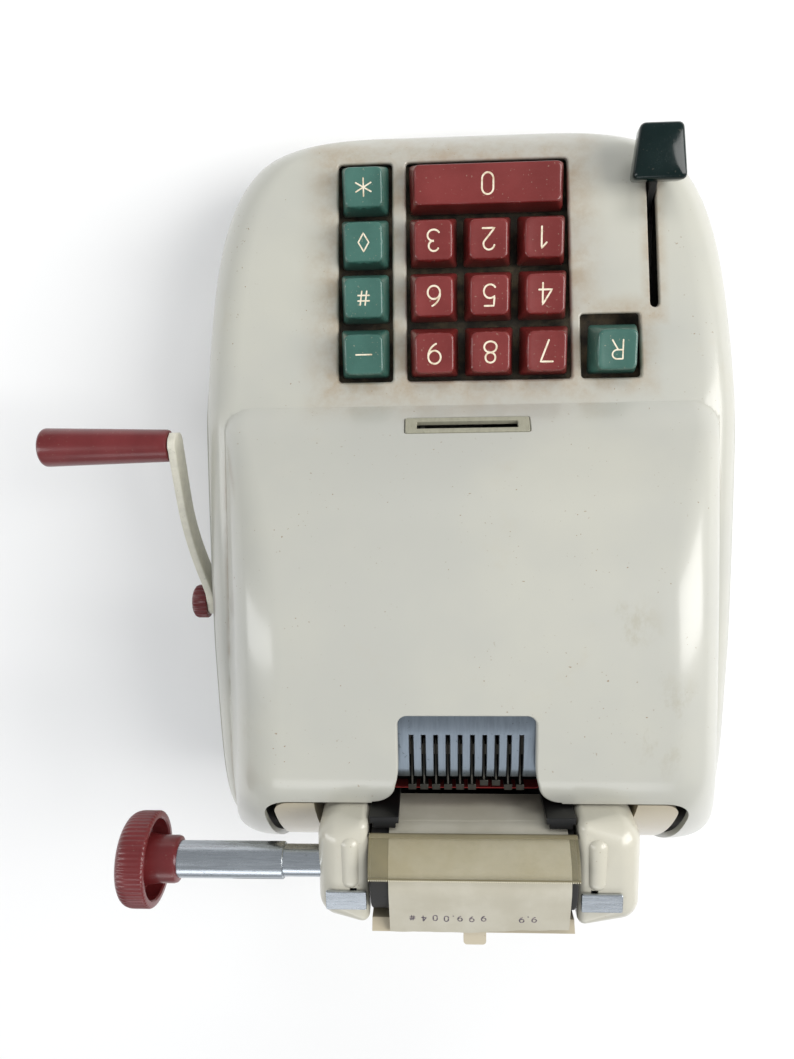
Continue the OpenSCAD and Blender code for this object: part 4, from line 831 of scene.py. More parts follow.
# %% [markdown]
# ## The clear guard
#
# The real guard is a thin clear sheet that age has turned faintly yellow. Refracting glass would be dear to
# render and grainy over the paper. The sheet is so thin that it hardly bends light, so a part of its
# surface is simply left out by Alpha, more of it where the haze is weak. Its edges look denser.

# %% The clear guard and its edges
p = Paint("clear_guard", srgb(232, 226, 196), 0.12, coat=0.5, Coat_Roughness=0.05)
haze = p.noise(40, 5, 0.65)
p.feed("Alpha", 0.2 + 0.2 * p.ramp(haze, 0.35, 0.8)).feed("Roughness", 0.1 + 0.25 * haze)
p.feed("Base Color", p.mix(haze, srgb(188, 182, 150), srgb(166, 152, 112)))
GUARD = p.material
GUARD.surface_render_method = "DITHERED"
p = Paint("guard_edge", srgb(112, 104, 78), 0.3, coat=0.5, Coat_Roughness=0.05)
p.feed("Roughness", 0.25 + 0.2 * p.noise(200, 3))
p.feed("Base Color", p.mix(p.noise(60, 3), srgb(96, 88, 62), srgb(140, 132, 104)))
GUARD_EDGE = p.feed("Alpha", 0.7 + 0.2 * p.noise(90, 3)).material
p = Paint("guard_tooth", srgb(220, 214, 192), 0.3)
GUARD_TOOTH = p.feed("Roughness", 0.25 + 0.2 * p.noise(400, 3)).material
print("guard finishes:", GUARD.name, GUARD_EDGE.name, GUARD_TOOTH.name)

# %% [markdown]
# ## The casing shells
#
# The real shells are pressed sheet. Two closed lofts, one inside the other, give the sheet its thickness,
# and a boolean takes the inner one away. The seam, the notch and all openings are cut next, and then the
# normals of the uncut lofts go back onto the cut skins. A solidify modifier would be shorter, but it
# makes folds where the radius of a corner is close to the thickness.

# %% The seam between the shells
SEAM_Z0, SEAM_Z1 = 30.0, 62.0


def seam(y):
    return SEAM_Z0 + (SEAM_Z1 - SEAM_Z0) * smoothstep((y + 100) / 75)


SEAM = [(-400, SEAM_Z0)] + [(y, seam(y)) for y in np.linspace(-100, -25, 41)] + [(400, SEAM_Z1)]
print("seam:", SEAM_Z0, "mm high in front,", SEAM_Z1, "mm at the rear")

# %% The tilted window of the indicator, and the slot of the lever
WIN_X, WIN_Y = 0.7, CREASE + 5.5
WIN_Z = top(WIN_Y, STEP)
WIN_TILT = math.atan(top(WIN_Y + 1, 0) - top(WIN_Y, 0))
PIVOT_Y, PIVOT_Z, LEVER_LEAN, LEVER_SWING = -79.5, 19.0, math.radians(44), math.radians(52)


def on_top(x, y):
    """Height of the upper shell, which is the same all the way across where the openings are."""
    return top(y, STEP)


def in_window(u, v, n):
    """Window plane to case frame: u across, v up the hood, n outward."""
    c, s = math.cos(WIN_TILT), math.sin(WIN_TILT)
    return (WIN_X + u, WIN_Y + v * c - n * s, WIN_Z + v * s + n * c)


def lever_slot(bar=4.5):
    """Where the bar of the lever passes through the deck at both ends of its swing."""
    back, up = LEVER_SWING - LEVER_LEAN, deck(0) - PIVOT_Z
    a = (PIVOT_Y - up * math.tan(LEVER_LEAN)) / (1 + SLOPE * math.tan(LEVER_LEAN))
    b = (PIVOT_Y + up * math.tan(back)) / (1 - SLOPE * math.tan(back))
    return a - bar / 2 / math.cos(LEVER_LEAN) - 1, b + bar / 2 / math.cos(back) + 1.5


LEVER_SLOT = lever_slot()
print("window tilt:", round(math.degrees(WIN_TILT), 1), "degrees; slot", [round(v, 1) for v in LEVER_SLOT])

# %% Upper shell: the skins, and the shell between them above the seam
top_skins = [form(d) for d in (STEP, STEP + WALL) for form in (body_loft, hood_loft)]
top_skin = fix_normals(raw_mesh("top_case_skin", *top_skins[0]))
cut(top_skin, fix_normals(raw_mesh("hood", *top_skins[1])), "UNION")
for inner in top_skins[2:]:
    cut(top_skin, fix_normals(raw_mesh("inner", *inner)))
above = [(y, z + 0.25) for y, z in SEAM] + [(400, 400), (-400, 400)]
cut(top_skin, side_cutter("above", np.array(above), -400, 400), "INTERSECT")
print("upper shell:", len(top_skin.data.vertices), "vertices")

# %% Upper shell: openings of the keys, the lever and the indicator
KEY_OPENINGS = (
    ("digits", DIGITS_X - PITCH - CAP - GAP, DIGITS_X + PITCH + CAP + GAP, OPEN_Y[0]),
    ("functions", FUNC_X - CAP - GAP, FUNC_X + CAP + GAP, OPEN_Y[0]),
    ("repeat", REPEAT_X - CAP - GAP, REPEAT_X + CAP + 2.6, ROWS[3] - CAP - 2.6 - GAP),
)
for name, x0, x1, y0 in KEY_OPENINGS:
    cut(top_skin, lip_cutter(name, lambda g, a=x0, b=x1, c=y0: rounded(a, b, c, OPEN_Y[1], 1.2, g), on_top))


def slot_outline(g):
    return rounded(LEVER_X - 1.7, LEVER_X + 1.7, *LEVER_SLOT, 1.6, g)


cut(top_skin, lip_cutter("slot", slot_outline, on_top, 0.5))
rings = []
for h, g in LIP:
    h = max(h, -8) if h < 2 else 8
    o = rounded(-21.75, 21.75, -3.7, 3.7, 0.8, g * 0.5)
    rings.append(np.array([in_window(u, v, h * (0.5 if -2 < h < 2 else 1)) for u, v in o]))
cut(top_skin, fix_normals(raw_mesh("window", *loft(rings))))
print("upper shell with its openings:", len(top_skin.data.vertices), "vertices")

# %% [markdown]
# ## The type window
#
# At the rear edge of the hood the real sheet is cut out round the type bars, and the cut flares into the
# notch of the carriage with round corners. It is one outline, drawn point by point, because no rounded
# rectangle has corners that turn both ways.

# %% Type window with its flared, rounded throat, and the notch behind the hood
TYPE_X, TYPE_W, TYPE_Y = 2.7, 44.5, 58.7
HOOD_REAR, NOTCH_W, NOTCH_Z = 91.0, 72.0, 60.0


def throat(g):
    """Plan outline of the type window and the round corners into the notch."""
    xe, r, w = TYPE_W / 2 + 1.2, 8.0, TYPE_W / 2
    pts = [(TYPE_X + w + g, TYPE_Y + 17)]
    for a in np.radians(np.linspace(0, 8, 4))[1:]:
        pts.append((TYPE_X + w + g + 1.2 * (math.degrees(a) / 8) ** 2, TYPE_Y + 17 + math.degrees(a)))
    for a in np.radians(np.linspace(180, 90, 13)):
        pts.append((TYPE_X + xe + r + (r - g) * math.cos(a), HOOD_REAR - r + (r - g) * math.sin(a)))
    right = pts + [(TYPE_X + xe + r + 0.5, HOOD_REAR + 8)]
    left = [(2 * TYPE_X - x, y) for x, y in right][::-1]
    r = 3.0 + g
    bottom = []
    for cx, a0 in ((TYPE_X - w + 3.0, 180), (TYPE_X + w - 3.0, 270)):
        for a in np.radians(np.linspace(a0, a0 + 90, 9)):
            bottom.append((cx + r * math.cos(a), TYPE_Y + 3.0 + r * math.sin(a)))
    return np.array(right + left + bottom)


cut(top_skin, lip_cutter("throat", throat, on_top, 0.9))
notch_plan = rounded(-NOTCH_W, NOTCH_W, HOOD_REAR, 300, 9)
cut(top_skin, box_cutter("notch", notch_plan, NOTCH_Z, 400))
print("normals carried to", carry_normals(top_skin, [skin_tree(*k) for k in top_skins]), "faces")
piece(top_skin, CASE, "chassis", ["top_case"], angle=None)


# %% [markdown]
# ## The lower shell
#
# The lower shell is the same body without a step, kept below the seam. A hole for the bush of the crank
# goes through its side.

# %% Lower shell
CRANK_Y, CRANK_Z = 43.5, 50.0
CIRCLE = np.array([(math.cos(a), math.sin(a)) for a in np.linspace(0, 2 * math.pi, 49)[:-1]])


def lower_shell():
    outer, inner = body_loft(0), body_loft(WALL)
    shell = fix_normals(raw_mesh("lower_case_skin", *outer))
    cut(shell, fix_normals(raw_mesh("inner", *inner)))
    below = list(SEAM) + [(400, -400), (-400, -400)]
    cut(shell, side_cutter("below", np.array(below), -400, 400), "INTERSECT")
    cut(shell, box_cutter("notch", notch_plan, NOTCH_Z, 400))
    cut(shell, side_cutter("bush", CIRCLE * 6.62 + (CRANK_Y, CRANK_Z), 54, 300))
    print("normals carried to", carry_normals(shell, [skin_tree(*outer), skin_tree(*inner)]), "faces")
    return shell


piece(lower_shell(), CASE, "chassis", ["lower_case"], angle=None)
print("shells:", PIECES)

# %% [markdown]
# ## Round parts
#
# The platen, the knobs, the grip and the bush were turned or moulded round. `lathe` does what a lathe does:
# it sweeps a profile of positions and radii round an axis along X. A screw modifier would do the same,
# but here single points of the profile can carry ribs, as on the rim of a knob.


# %% Lathe along X, with optional ribs
def lathe(name, profile, y, z, n=96, ribs=0, depth=0.0, ribbed=()):
    """profile: (x, r) pairs; ribbed: indices of the profile points that carry ribs."""
    a = np.linspace(0, 2 * math.pi, n, endpoint=False)
    points, faces = [], []
    for i, (x, r) in enumerate(profile):
        q = np.full(n, float(max(r, 0.0)))
        if i in ribbed and ribs:
            q = q - depth * (0.5 - 0.5 * np.cos(ribs * a)) ** 0.7
        points += [(x, y + q[j] * math.cos(a[j]), z + q[j] * math.sin(a[j])) for j in range(n)]
    m = len(profile)
    for i in range(m if profile[0] == profile[-1] else m - 1):
        for j in range(n):
            k, b = (j + 1) % n, (i + 1) % m
            faces.append((i * n + j, i * n + k, b * n + k, b * n + j))
    if profile[0] != profile[-1]:
        faces.append(tuple(range(n - 1, -1, -1)))
        faces.append(tuple((m - 1) * n + j for j in range(n)))
    obj = raw_mesh(name, points, faces)
    bm = bmesh.new()
    bm.from_mesh(obj.data)
    bmesh.ops.remove_doubles(bm, verts=bm.verts, dist=1e-7)
    bmesh.ops.recalc_face_normals(bm, faces=bm.faces)
    bm.to_mesh(obj.data)
    bm.free()
    return obj


print("steps round a lathe:", lathe.__defaults__[0])

# %% Platen, its shaft and the chrome sleeve
PLATEN_Y, PLATEN_Z, PLATEN_R = 111.5, 125.0, 14.2
roller = [(-31.9, 3.1), (-31.9, 13.9), (-31.6, PLATEN_R), (33.8, PLATEN_R), (34.1, 13.9), (34.1, 3.1)]
platen = lathe("platen_skin", roller, PLATEN_Y, PLATEN_Z, 128)
piece(platen, RUBBER, "platen", ["platen"])
shaft = [(-38.2, 2.6), (-37.8, 3.0), (42, 3.0), (42, 4.9), (42.3, 5.2), (66.8, 5.2), (67, 3.0), (116.8, 3.0)]
piece(lathe("platen_shaft_skin", shaft, PLATEN_Y, PLATEN_Z, 64), CHROME, "platen", ["platen_shaft"])
tube = [(66.9, 5.24), (64, 5.24), (64, 5.7), (64.3, 6.0), (99.8, 6.0), (99.8, 3.1), (66.9, 3.1)]
sleeve = lathe("platen_sleeve_skin", tube + [tube[0]], PLATEN_Y, PLATEN_Z, 96)
slit = np.array([(63, 3.9), (81, 3.9), (81.3, 4.15), (81, 4.4), (63, 4.4)]) + (0, PLATEN_Y)
cut(sleeve, box_cutter("slit", slit, PLATEN_Z + 1, PLATEN_Z + 9))
piece(sleeve, CHROME, "platen", ["platen_sleeve"], 30)
print("platen group:", PIECES[-3:])

# %% [markdown]
# ## Platen knob
#
# The knob is a deep red cup that opens towards the machine, with fine ribs on its rim for the fingers. Its
# profile runs from the lip over the rim and the closed end into the hollow, and round the stub inside.

# %% Platen knob
lip_x, end_x = 107.8, 118.2
cup = [(lip_x + 0.5, 13.0), (lip_x, 13.5), (lip_x, 14.9), (lip_x + 0.25, 15.35), (lip_x + 0.7, 15.6)]
cup += [(x, 15.6) for x in np.linspace(lip_x + 1.6, end_x - 4.4, 5)]
cup += [(end_x - 3.2, 15.45), (end_x - 2.1, 15.05), (end_x - 1.1, 14.3), (end_x - 0.4, 13.2)]
cup += [(end_x - 0.1, 12.0), (end_x, 10.5), (end_x, 9.0)]
cup += [(end_x - 0.35, 8.2), (end_x - 0.35, 0.6), (end_x - 0.35, 0.0)]
cup += [(116.9, 0.0), (116.9, 3.1), (99.85, 3.1), (99.85, 6.6), (100.3, 7.4), (101.2, 7.7)]
cup += [(106.0, 7.7), (110.0, 8.2), (112.6, 9.2), (114.4, 11.4), (113.6, 12.5), (110.5, 13.0)]
knob = lathe("platen_knob_skin", cup + [cup[0]], PLATEN_Y, PLATEN_Z, 360, 60, 0.24, range(3, 13))
piece(knob, KNOB_RED, "platen", ["platen_knob"], 42)
print("knob vertices:", len(knob.data.vertices))

# %% [markdown]
# ## Crank
#
# The arm is a flat bar that leaves the hub close to the case and bends outward in a long S, so that
# its end clears the side of the case. The grip is a taper on a pin. The bar is a loft of one small
# rectangle that moves outward along the arm and gets narrow at both round ends, and only then is it
# turned to the angle at which the crank rests.


# %% Crank arm swept along its S bend
def turned(points, about_y, about_z, angle):
    """Turns points about an axis along X."""
    p = np.array(points, float)
    y, z = p[:, 1] - about_y, p[:, 2] - about_z
    c, s = math.cos(angle), math.sin(angle)
    return np.column_stack([p[:, 0], about_y + c * y - s * z, about_z + s * y + c * z])


CRANK_L, CRANK_UP = 68.6, math.radians(14.3)
BEND_START, BEND_END, BEND = 6.0, 48.0, 5.4
HUB_X, ARM_T, ARM_W, ARM_END = 102.5, 3.0, 10.0, 5.0


def arm_half(t):
    """Half the width of the arm at t mm from its axis, with a round end beyond both holes."""
    past = max(-t, t - CRANK_L)
    if past > 0:
        return math.sqrt(max(0.0, 1 - (past / ARM_END) ** 2)) * ARM_W / 2 * 1.05 + 0.3
    return ARM_W / 2 * (1 + 0.05 * math.cos(2 * math.pi * t / CRANK_L))


rings = []
for t in np.linspace(-ARM_END, CRANK_L + ARM_END, 75):
    u = min(1.0, max(0.0, (t - BEND_START) / (BEND_END - BEND_START)))
    x, w = HUB_X + BEND * (1 - (1 - u) ** 2.2) ** 1.25, arm_half(t)
    o = rounded(x, x + ARM_T, -w, w, min(0.5, w * 0.9), n=4)
    rings.append(np.column_stack([o[:, 0], np.full(len(o), CRANK_Y - t), CRANK_Z + o[:, 1]]))
points, faces = loft(rings)
arm = fix_normals(raw_mesh("crank_arm_skin", turned(points, CRANK_Y, CRANK_Z, -CRANK_UP), faces))
piece(arm, ARM, "crank", ["crank_arm"], 50)
print("arm vertices:", len(arm.data.vertices))

# %% Hub knob, grip and bush
hub = [(0, 0.0), (0, 6.0), (0.25, 6.6), (0.75, 6.8), (4.6, 6.8), (5.5, 6.3)]
hub += [(6.05, 5.4), (6.1, 4.2), (5.8, 2.0), (5.8, 0.0)]
hub = [(HUB_X + ARM_T + 0.05 + x, r) for x, r in hub]
hub_knob = lathe("crank_hub_skin", hub, CRANK_Y, CRANK_Z, 160, 20, 0.55, (2, 3, 4, 5))
piece(hub_knob, KNOB_RED, "crank", ["crank_hub"], 42)
GRIP_Y, GRIP_Z = CRANK_Y - CRANK_L * math.cos(CRANK_UP), CRANK_Z + CRANK_L * math.sin(CRANK_UP)
g0, g1 = 111.2, 160.2
grip = [(g0, 0.0), (g0, 5.2), (g0 + 0.3, 5.8), (g0 + 0.9, 6.05)]
grip += [(x, 6.05 + 1.25 * (x - g0 - 0.9) / (g1 - g0 - 2.9)) for x in np.linspace(g0 + 3, g1 - 2.4, 12)]
grip += [(g1 - 2.0 + 2.0 * math.sin(a), 5.3 + 2.0 * math.cos(a)) for a in np.radians(np.linspace(10, 90, 8))]
grip += [(g1 - 0.05, 2.2), (g1 - 0.4, 1.4), (g1 - 0.4, 0.0)]
piece(lathe("crank_grip_skin", grip, GRIP_Y, GRIP_Z, 96), KNOB_RED, "grip", ["crank_grip"], 40)
bush = [(96, 4.1), (96, 6.6), (101.8, 6.6), (102.3, 6.1), (102.3, 4.1), (96, 4.1)]
piece(lathe("crank_bush_skin", bush, CRANK_Y, CRANK_Z, 64), BRASS, "chassis", ["crank_bush"])
print("crank pieces:", PIECES[-4:])

# %% [markdown]
# ## Keys
#
# A real cap is moulded hollow plastic with a dished face that centres the finger. It is built as a stack of
# rounded outlines: a short upright foot, tapered sides, a quarter-round edge and rings of the face that
# get smaller. Rings with extra points along their sides follow the dish, which a bevelled box could not do.
# The wide key is dished along its length only.


# %% A key cap as a stack of rings
def key_top_height(x, y, wide, dish=0.8):
    half = KEY_TOP / 2
    d = (y / half) ** 2 if wide else (x * x + y * y) / (2 * half * half)
    return KEY_H - dish * max(0.0, 1 - d)


def key_cap(name, cx, cy, half, material):
    wide = half > 10
    w1, l0, l1, z = half - (KEY_BASE - KEY_TOP) / 2, CAP, KEY_TOP / 2, deck(cy) - KEY_SINK
    rings = []

    def ring(a, b, r, height):
        o = rounded(-a, a, -b, b, r, n=8, side=12)
        h = [height(x, y) if callable(height) else height for x, y in o]
        rings.append(np.column_stack([o[:, 0] + cx, o[:, 1] + cy, np.array(h) + z]))

    ring(half - 0.3, l0 - 0.3, 1.0, 0.0)
    ring(half, l0, 1.2, 0.3)
    ring(half, l0, 1.2, 1.0)
    for t in (0.25, 0.5, 0.75, 1.0):
        k = 1 - t
        ring(w1 + (half - w1) * k, l1 + (l0 - l1) * k, 1.2 + 0.9 * t, 1.0 + (KEY_H - 2.1) * t)
    for a in np.radians((18, 36, 54, 72, 90)):
        i = (1 - math.cos(a)) * 0.9
        ring(w1 - i, l1 - i, 2.1 - i * 0.5, lambda x, y, s=math.sin(a): key_top_height(x, y, wide) - 1 + s)
    i = 0.9
    while i + 0.75 < l1 - 0.2:
        i += 0.75
        ring(w1 - i, l1 - i, max(0.15, 1.65 * (1 - i / l1)), lambda x, y: key_top_height(x, y, wide))
    obj = fix_normals(raw_mesh(name + "_cap", *loft(rings)))
    return piece(obj, material, name, [name], 55)


print("dish of a cap:", round(KEY_H - key_top_height(0, 0, False), 2), "mm")

# %% The fifteen caps
KEYS = [("key_0", DIGITS_X, ROWS[0], PITCH + CAP)]
for row in range(3):
    KEYS += [(f"key_{3 * row + c + 1}", DIGITS_X + (c - 1) * PITCH, ROWS[row + 1], CAP) for c in range(3)]
KEYS += [(f"key_{n}", FUNC_X, ROWS[i], CAP) for i, n in enumerate(("star", "diamond", "hash", "minus"))]
KEYS += [("key_repeat", REPEAT_X, ROWS[3], CAP)]
for name, x, y, half in KEYS:
    digit = name[4:].isdigit()
    key_cap(name, x, y, half, RED if digit else GREEN)
print("caps:", len(KEYS))

# %% [markdown]
# ## Legends
#
# The real legends are cream figures with one width of line and round ends, level with the caps. A font
# has other shapes, and a text object has no stroke to lay on a dished face. So every figure is drawn as
# strokes in a box one unit high, and a stroke becomes a thin ribbon that lies on the face of its key.


# %% Stroke figures in a box one unit high
def arc(cx, cy, rx, ry, a0, a1, n=18):
    return [(cx + rx * math.cos(a), cy + ry * math.sin(a)) for a in np.radians(np.linspace(a0, a1, n))]


SIX = arc(0.30, 0.31, 0.30, 0.31, 0, 360, 30)
FIGURES = {
    "0": [arc(0.28, 0.70, 0.28, 0.30, 0, 180) + arc(0.28, 0.30, 0.28, 0.30, 180, 360) + [(0.56, 0.70)]],
    "1": [[(0.08, 0.74), (0.32, 1.0), (0.32, 0.0)]],
    "2": [arc(0.29, 0.72, 0.27, 0.28, 165, -20) + [(0.02, 0.0), (0.60, 0.0)]],
    "3": [arc(0.28, 0.755, 0.25, 0.245, 150, -90) + arc(0.28, 0.265, 0.30, 0.265, 90, -150)],
    "4": [[(0.44, 0.0), (0.44, 1.0), (0.0, 0.30), (0.62, 0.30)]],
    "5": [[(0.54, 1.0), (0.10, 1.0), (0.06, 0.54)] + arc(0.28, 0.32, 0.30, 0.32, 118, -145)],
    "6": [SIX, arc(0.72, 0.36, 0.72, 0.66, 178, 118)],
    "7": [[(0.0, 1.0), (0.58, 1.0), (0.20, 0.0)]],
    "8": [arc(0.30, 0.76, 0.24, 0.24, -90, 270, 28), arc(0.30, 0.26, 0.30, 0.26, 90, 450, 30)],
    "9": [[(0.60 - x, 1.0 - y) for x, y in s] for s in (SIX, arc(0.72, 0.36, 0.72, 0.66, 178, 118))],
    "star": [[(0.32, 0.86), (0.32, 0.14)], [(0.0, 0.68), (0.64, 0.32)], [(0.0, 0.32), (0.64, 0.68)]],
    "diamond": [[(0.3, 1.0), (0.6, 0.5), (0.3, 0.0), (0.0, 0.5), (0.3, 1.0)]],
    "hash": [[(0.26, 0.9), (0.14, 0.1)], [(0.56, 0.9), (0.44, 0.1)]]
    + [[(0.0, y), (0.68, y)] for y in (0.66, 0.34)],
    "minus": [[(0.0, 0.5), (0.72, 0.5)]],
    "R": [
        [(0.0, 0.0), (0.0, 1.0)],
        [(0.0, 1.0), (0.3, 1.0)] + arc(0.3, 0.76, 0.26, 0.24, 90, -90) + [(0.0, 0.52)],
        [(0.26, 0.52), (0.58, 0.0)],
    ],
    ".": [[(0.1, 0.0), (0.1, 0.06)]],
}
print("figures:", " ".join(FIGURES))


# %% A stroke as a flat ribbon, and a figure laid on a surface
def strip(points, width, n=6):
    """Outline of a stroke with round ends, as quads along its path and fans at its ends."""
    p = np.array(points, float)
    d = np.gradient(p, axis=0)
    d /= np.maximum(np.linalg.norm(d, axis=1, keepdims=True), 1e-9)
    side = np.column_stack([-d[:, 1], d[:, 0]]) * width / 2
    verts = list(p + side) + list(p - side)
    m = len(p)
    faces = [(i, i + 1, m + i + 1, m + i) for i in range(m - 1)]
    for k, s in ((0, 1.0), (m - 1, -1.0)):
        base = len(verts)
        a0 = math.atan2(side[k][1], side[k][0])
        turn = a0 + s * np.linspace(0, math.pi, n + 2)
        verts += [p[k] + width / 2 * np.array([math.cos(a), math.sin(a)]) for a in turn]
        faces.append(tuple(range(base, base + n + 2)))
    return np.array(verts), faces


def sharpened(stroke):
    """Divides each straight part of a polyline into steps of about 0.09, so that it keeps its corners at
    full width.
    """
    out = [stroke[0]]
    for a, b in zip(stroke[:-1], stroke[1:]):
        n = max(1, int(math.hypot(b[0] - a[0], b[1] - a[1]) / 0.09))
        out += [(a[0] + (b[0] - a[0]) * i / n, a[1] + (b[1] - a[1]) * i / n) for i in range(1, n + 1)]
    return out


def figure(name, cx, cy, size, width, height, offset=0.03):
    """Vertices and faces of a figure laid on a surface height(x, y)."""
    strokes = FIGURES[name]
    xs = [x for s in strokes for x, _ in s]
    mid = (min(xs) + max(xs)) / 2
    verts, faces = [], []
    for s in strokes:
        v, f = strip([((x - mid) * size, (y - 0.5) * size) for x, y in sharpened(s)], width)
        faces += [tuple(i + len(verts) for i in q) for q in f]
        verts += [(cx + x, cy + y, height(cx + x, cy + y) + offset) for x, y in v]
    return verts, faces


print("points of the figure 0:", len(figure("0", 0, 0, 7.2, 0.62, lambda x, y: 0.0)[0]))

# %% Put the legends on the keys
SIZES = {"star": 8.4, "diamond": 6.2, "hash": 5.8, "minus": 7.6}
for name, x, y, half in KEYS:
    tag = name[4:]
    what = "R" if tag == "repeat" else tag
    z0 = deck(y) - KEY_SINK
    face = lambda px, py, x=x, y=y, h=half, z=z0: z + key_top_height(px - x, py - y, h > 10)
    thin = 0.62 if tag.isdigit() else 0.5
    verts, faces = figure(what, x, y, SIZES.get(tag, 7.2 if tag.isdigit() else 6.4), thin, face)
    legend = raw_mesh(f"legend_{tag}", verts, faces)
    piece(legend, LEGEND, name, (), None)
print("legends:", len(KEYS))

# %% [markdown]
# ## Function lever
#
# The knob is a dark green block that narrows towards the operator, with a bulged top and a soft edge all
# round. It is one more stack of rings: the same four-cornered outline, drawn in by a growing inset. The
# corners are short curves, and every ring is divided anew into equal steps, so that the rings fit.

# %% Lever knob
LEVER_LEN, KNOB_W0, KNOB_W1, KNOB_LEN, KNOB_H = 51.0, 9.5, 7.35, 18.5, 7.0
TIP_Y = PIVOT_Y - LEVER_LEN * math.sin(LEVER_LEAN) + 3.2
TIP_Z = PIVOT_Z + LEVER_LEN * math.cos(LEVER_LEAN)


def knob_ring(inset, z, bulge=0.0, n=72):
    wide, narrow = KNOB_W0 - inset, KNOB_W1 - inset
    y1, y0 = TIP_Y - inset, TIP_Y - KNOB_LEN + inset
    pts = [(wide, y1), (-wide, y1), (-narrow, y0), (narrow, y0)]
    out = []
    for i, (px, py) in enumerate(pts):
        a, b = np.array(pts[i - 1]), np.array(pts[(i + 1) % 4])
        q = np.array((px, py))
        r = max(0.3, 2.0 - inset * 0.4)
        s, e = q + (a - q) / np.linalg.norm(a - q) * r, q + (b - q) / np.linalg.norm(b - q) * r
        out += [(1 - t) ** 2 * s + 2 * t * (1 - t) * q + t * t * e for t in np.linspace(0, 1, 7)]
    o = resample(np.array(out), n)
    mid = (y0 + y1) / 2
    h = [z + bulge * (1 - (x / KNOB_W0) ** 2) * (1 - ((y - mid) / 9.3) ** 2) for x, y in o]
    return np.column_stack([o[:, 0] + LEVER_X, o[:, 1], h])


rings = [knob_ring(i, TIP_Z + h) for i, h in ((1.2, 0), (0.75, 0.3), (0.5, 1.0), (0.2, 4.0), (0.0, KNOB_H))]
for a in np.radians((20, 40, 60, 80)):
    rings.append(knob_ring(1.5 * (1 - math.cos(a)), TIP_Z + KNOB_H + 1.9 * math.sin(a), 0.25))
for i in (2.4, 3.6, 5.0, 6.4):
    rings.append(knob_ring(i, TIP_Z + KNOB_H + 1.95, min(1, i / 3)))
lever_knob = fix_normals(raw_mesh("lever_knob_skin", *loft(rings)))
piece(lever_knob, DARK_GREEN, "lever", ["lever_knob"], 50)
print("lever knob:", len(lever_knob.data.vertices), "vertices")

# %% [markdown]
# ## Carriage
#
# The end covers are cream caps with a round back, a sharper inner edge and a raised pad on top. The hull of
# a few balls and posts has just that form: a large ball makes a soft corner, a small one a crisp edge.
# Then the cavity, the pocket and the holes are cut, so that the shaft and the tabs have room inside.


# %% Hulls of point clouds
def ball(x, y, z, r, n=28):
    out = []
    for i in range(n // 2 + 1):
        b = math.pi / 2 * i / (n // 2)
        for a in np.linspace(0, 2 * math.pi, 2 * n, endpoint=False):
            q = r * math.cos(b)
            out.append((x + q * math.cos(a), y + q * math.sin(a), z + r * math.sin(b)))
    return out


def post(x, y, z, r, n=28):
    turn = np.linspace(0, 2 * math.pi, 2 * n, endpoint=False)
    return [(x + r * math.cos(a), y + r * math.sin(a), z) for a in turn]


def hull(name, points):
    bm = bmesh.new()
    for p in metres(points):
        bm.verts.new(p)
    made = bmesh.ops.convex_hull(bm, input=bm.verts)
    inside = [v for v in made["geom_interior"] if isinstance(v, bmesh.types.BMVert)]
    bmesh.ops.delete(bm, geom=inside, context="VERTS")
    bmesh.ops.delete(bm, geom=[v for v in bm.verts if not v.link_faces], context="VERTS")
    bmesh.ops.dissolve_limit(bm, angle_limit=math.radians(0.5), verts=bm.verts, edges=bm.edges)
    mesh = bpy.data.meshes.new(name)
    bm.to_mesh(mesh)
    bm.free()
    obj = bpy.data.objects.new(name, mesh)
    bpy.context.scene.collection.objects.link(obj)
    return fix_normals(obj)


print("points of one ball:", len(ball(0, 0, 0, 1)))


# %% End covers
COVER_Z, COVER_TOP, C_FRONT, C_REAR = 89.7, 135.0, 91.8, 128.0


def corner_post(x, y, z, r):
    return ball(x, y, z, r) + post(x, y, COVER_Z, r)


def cover_body(name, s, x_in, x_out, r_in=2.5):
    pts = []
    for ro, yo, yi, drop in (
        (8.5, C_FRONT + 8.5, C_FRONT + r_in, 1.2),
        (7.0, C_REAR - 7.0, C_REAR - r_in, 0.0),
    ):
        pts += corner_post(s * (x_out - ro), yo, COVER_TOP - ro, ro)
        pts += corner_post(s * (x_in + r_in), yi, COVER_TOP - r_in - drop, r_in)
    return hull(name, pts)


def cover_pad(x, r=3.2, base=COVER_TOP - 1.6):
    """The raised pad: a long flattened dome."""
    pad = []
    for y in (C_FRONT + 8, PLATEN_Y + 0.6):
        pad += [(px, py, base + (pz - base) * 0.78) for px, py, pz in ball(x, y, base, r)]
        pad += post(x, y, COVER_TOP - 3, r)
    return hull("pad", pad)


print("end covers: from", C_FRONT, "to", C_REAR, "mm")


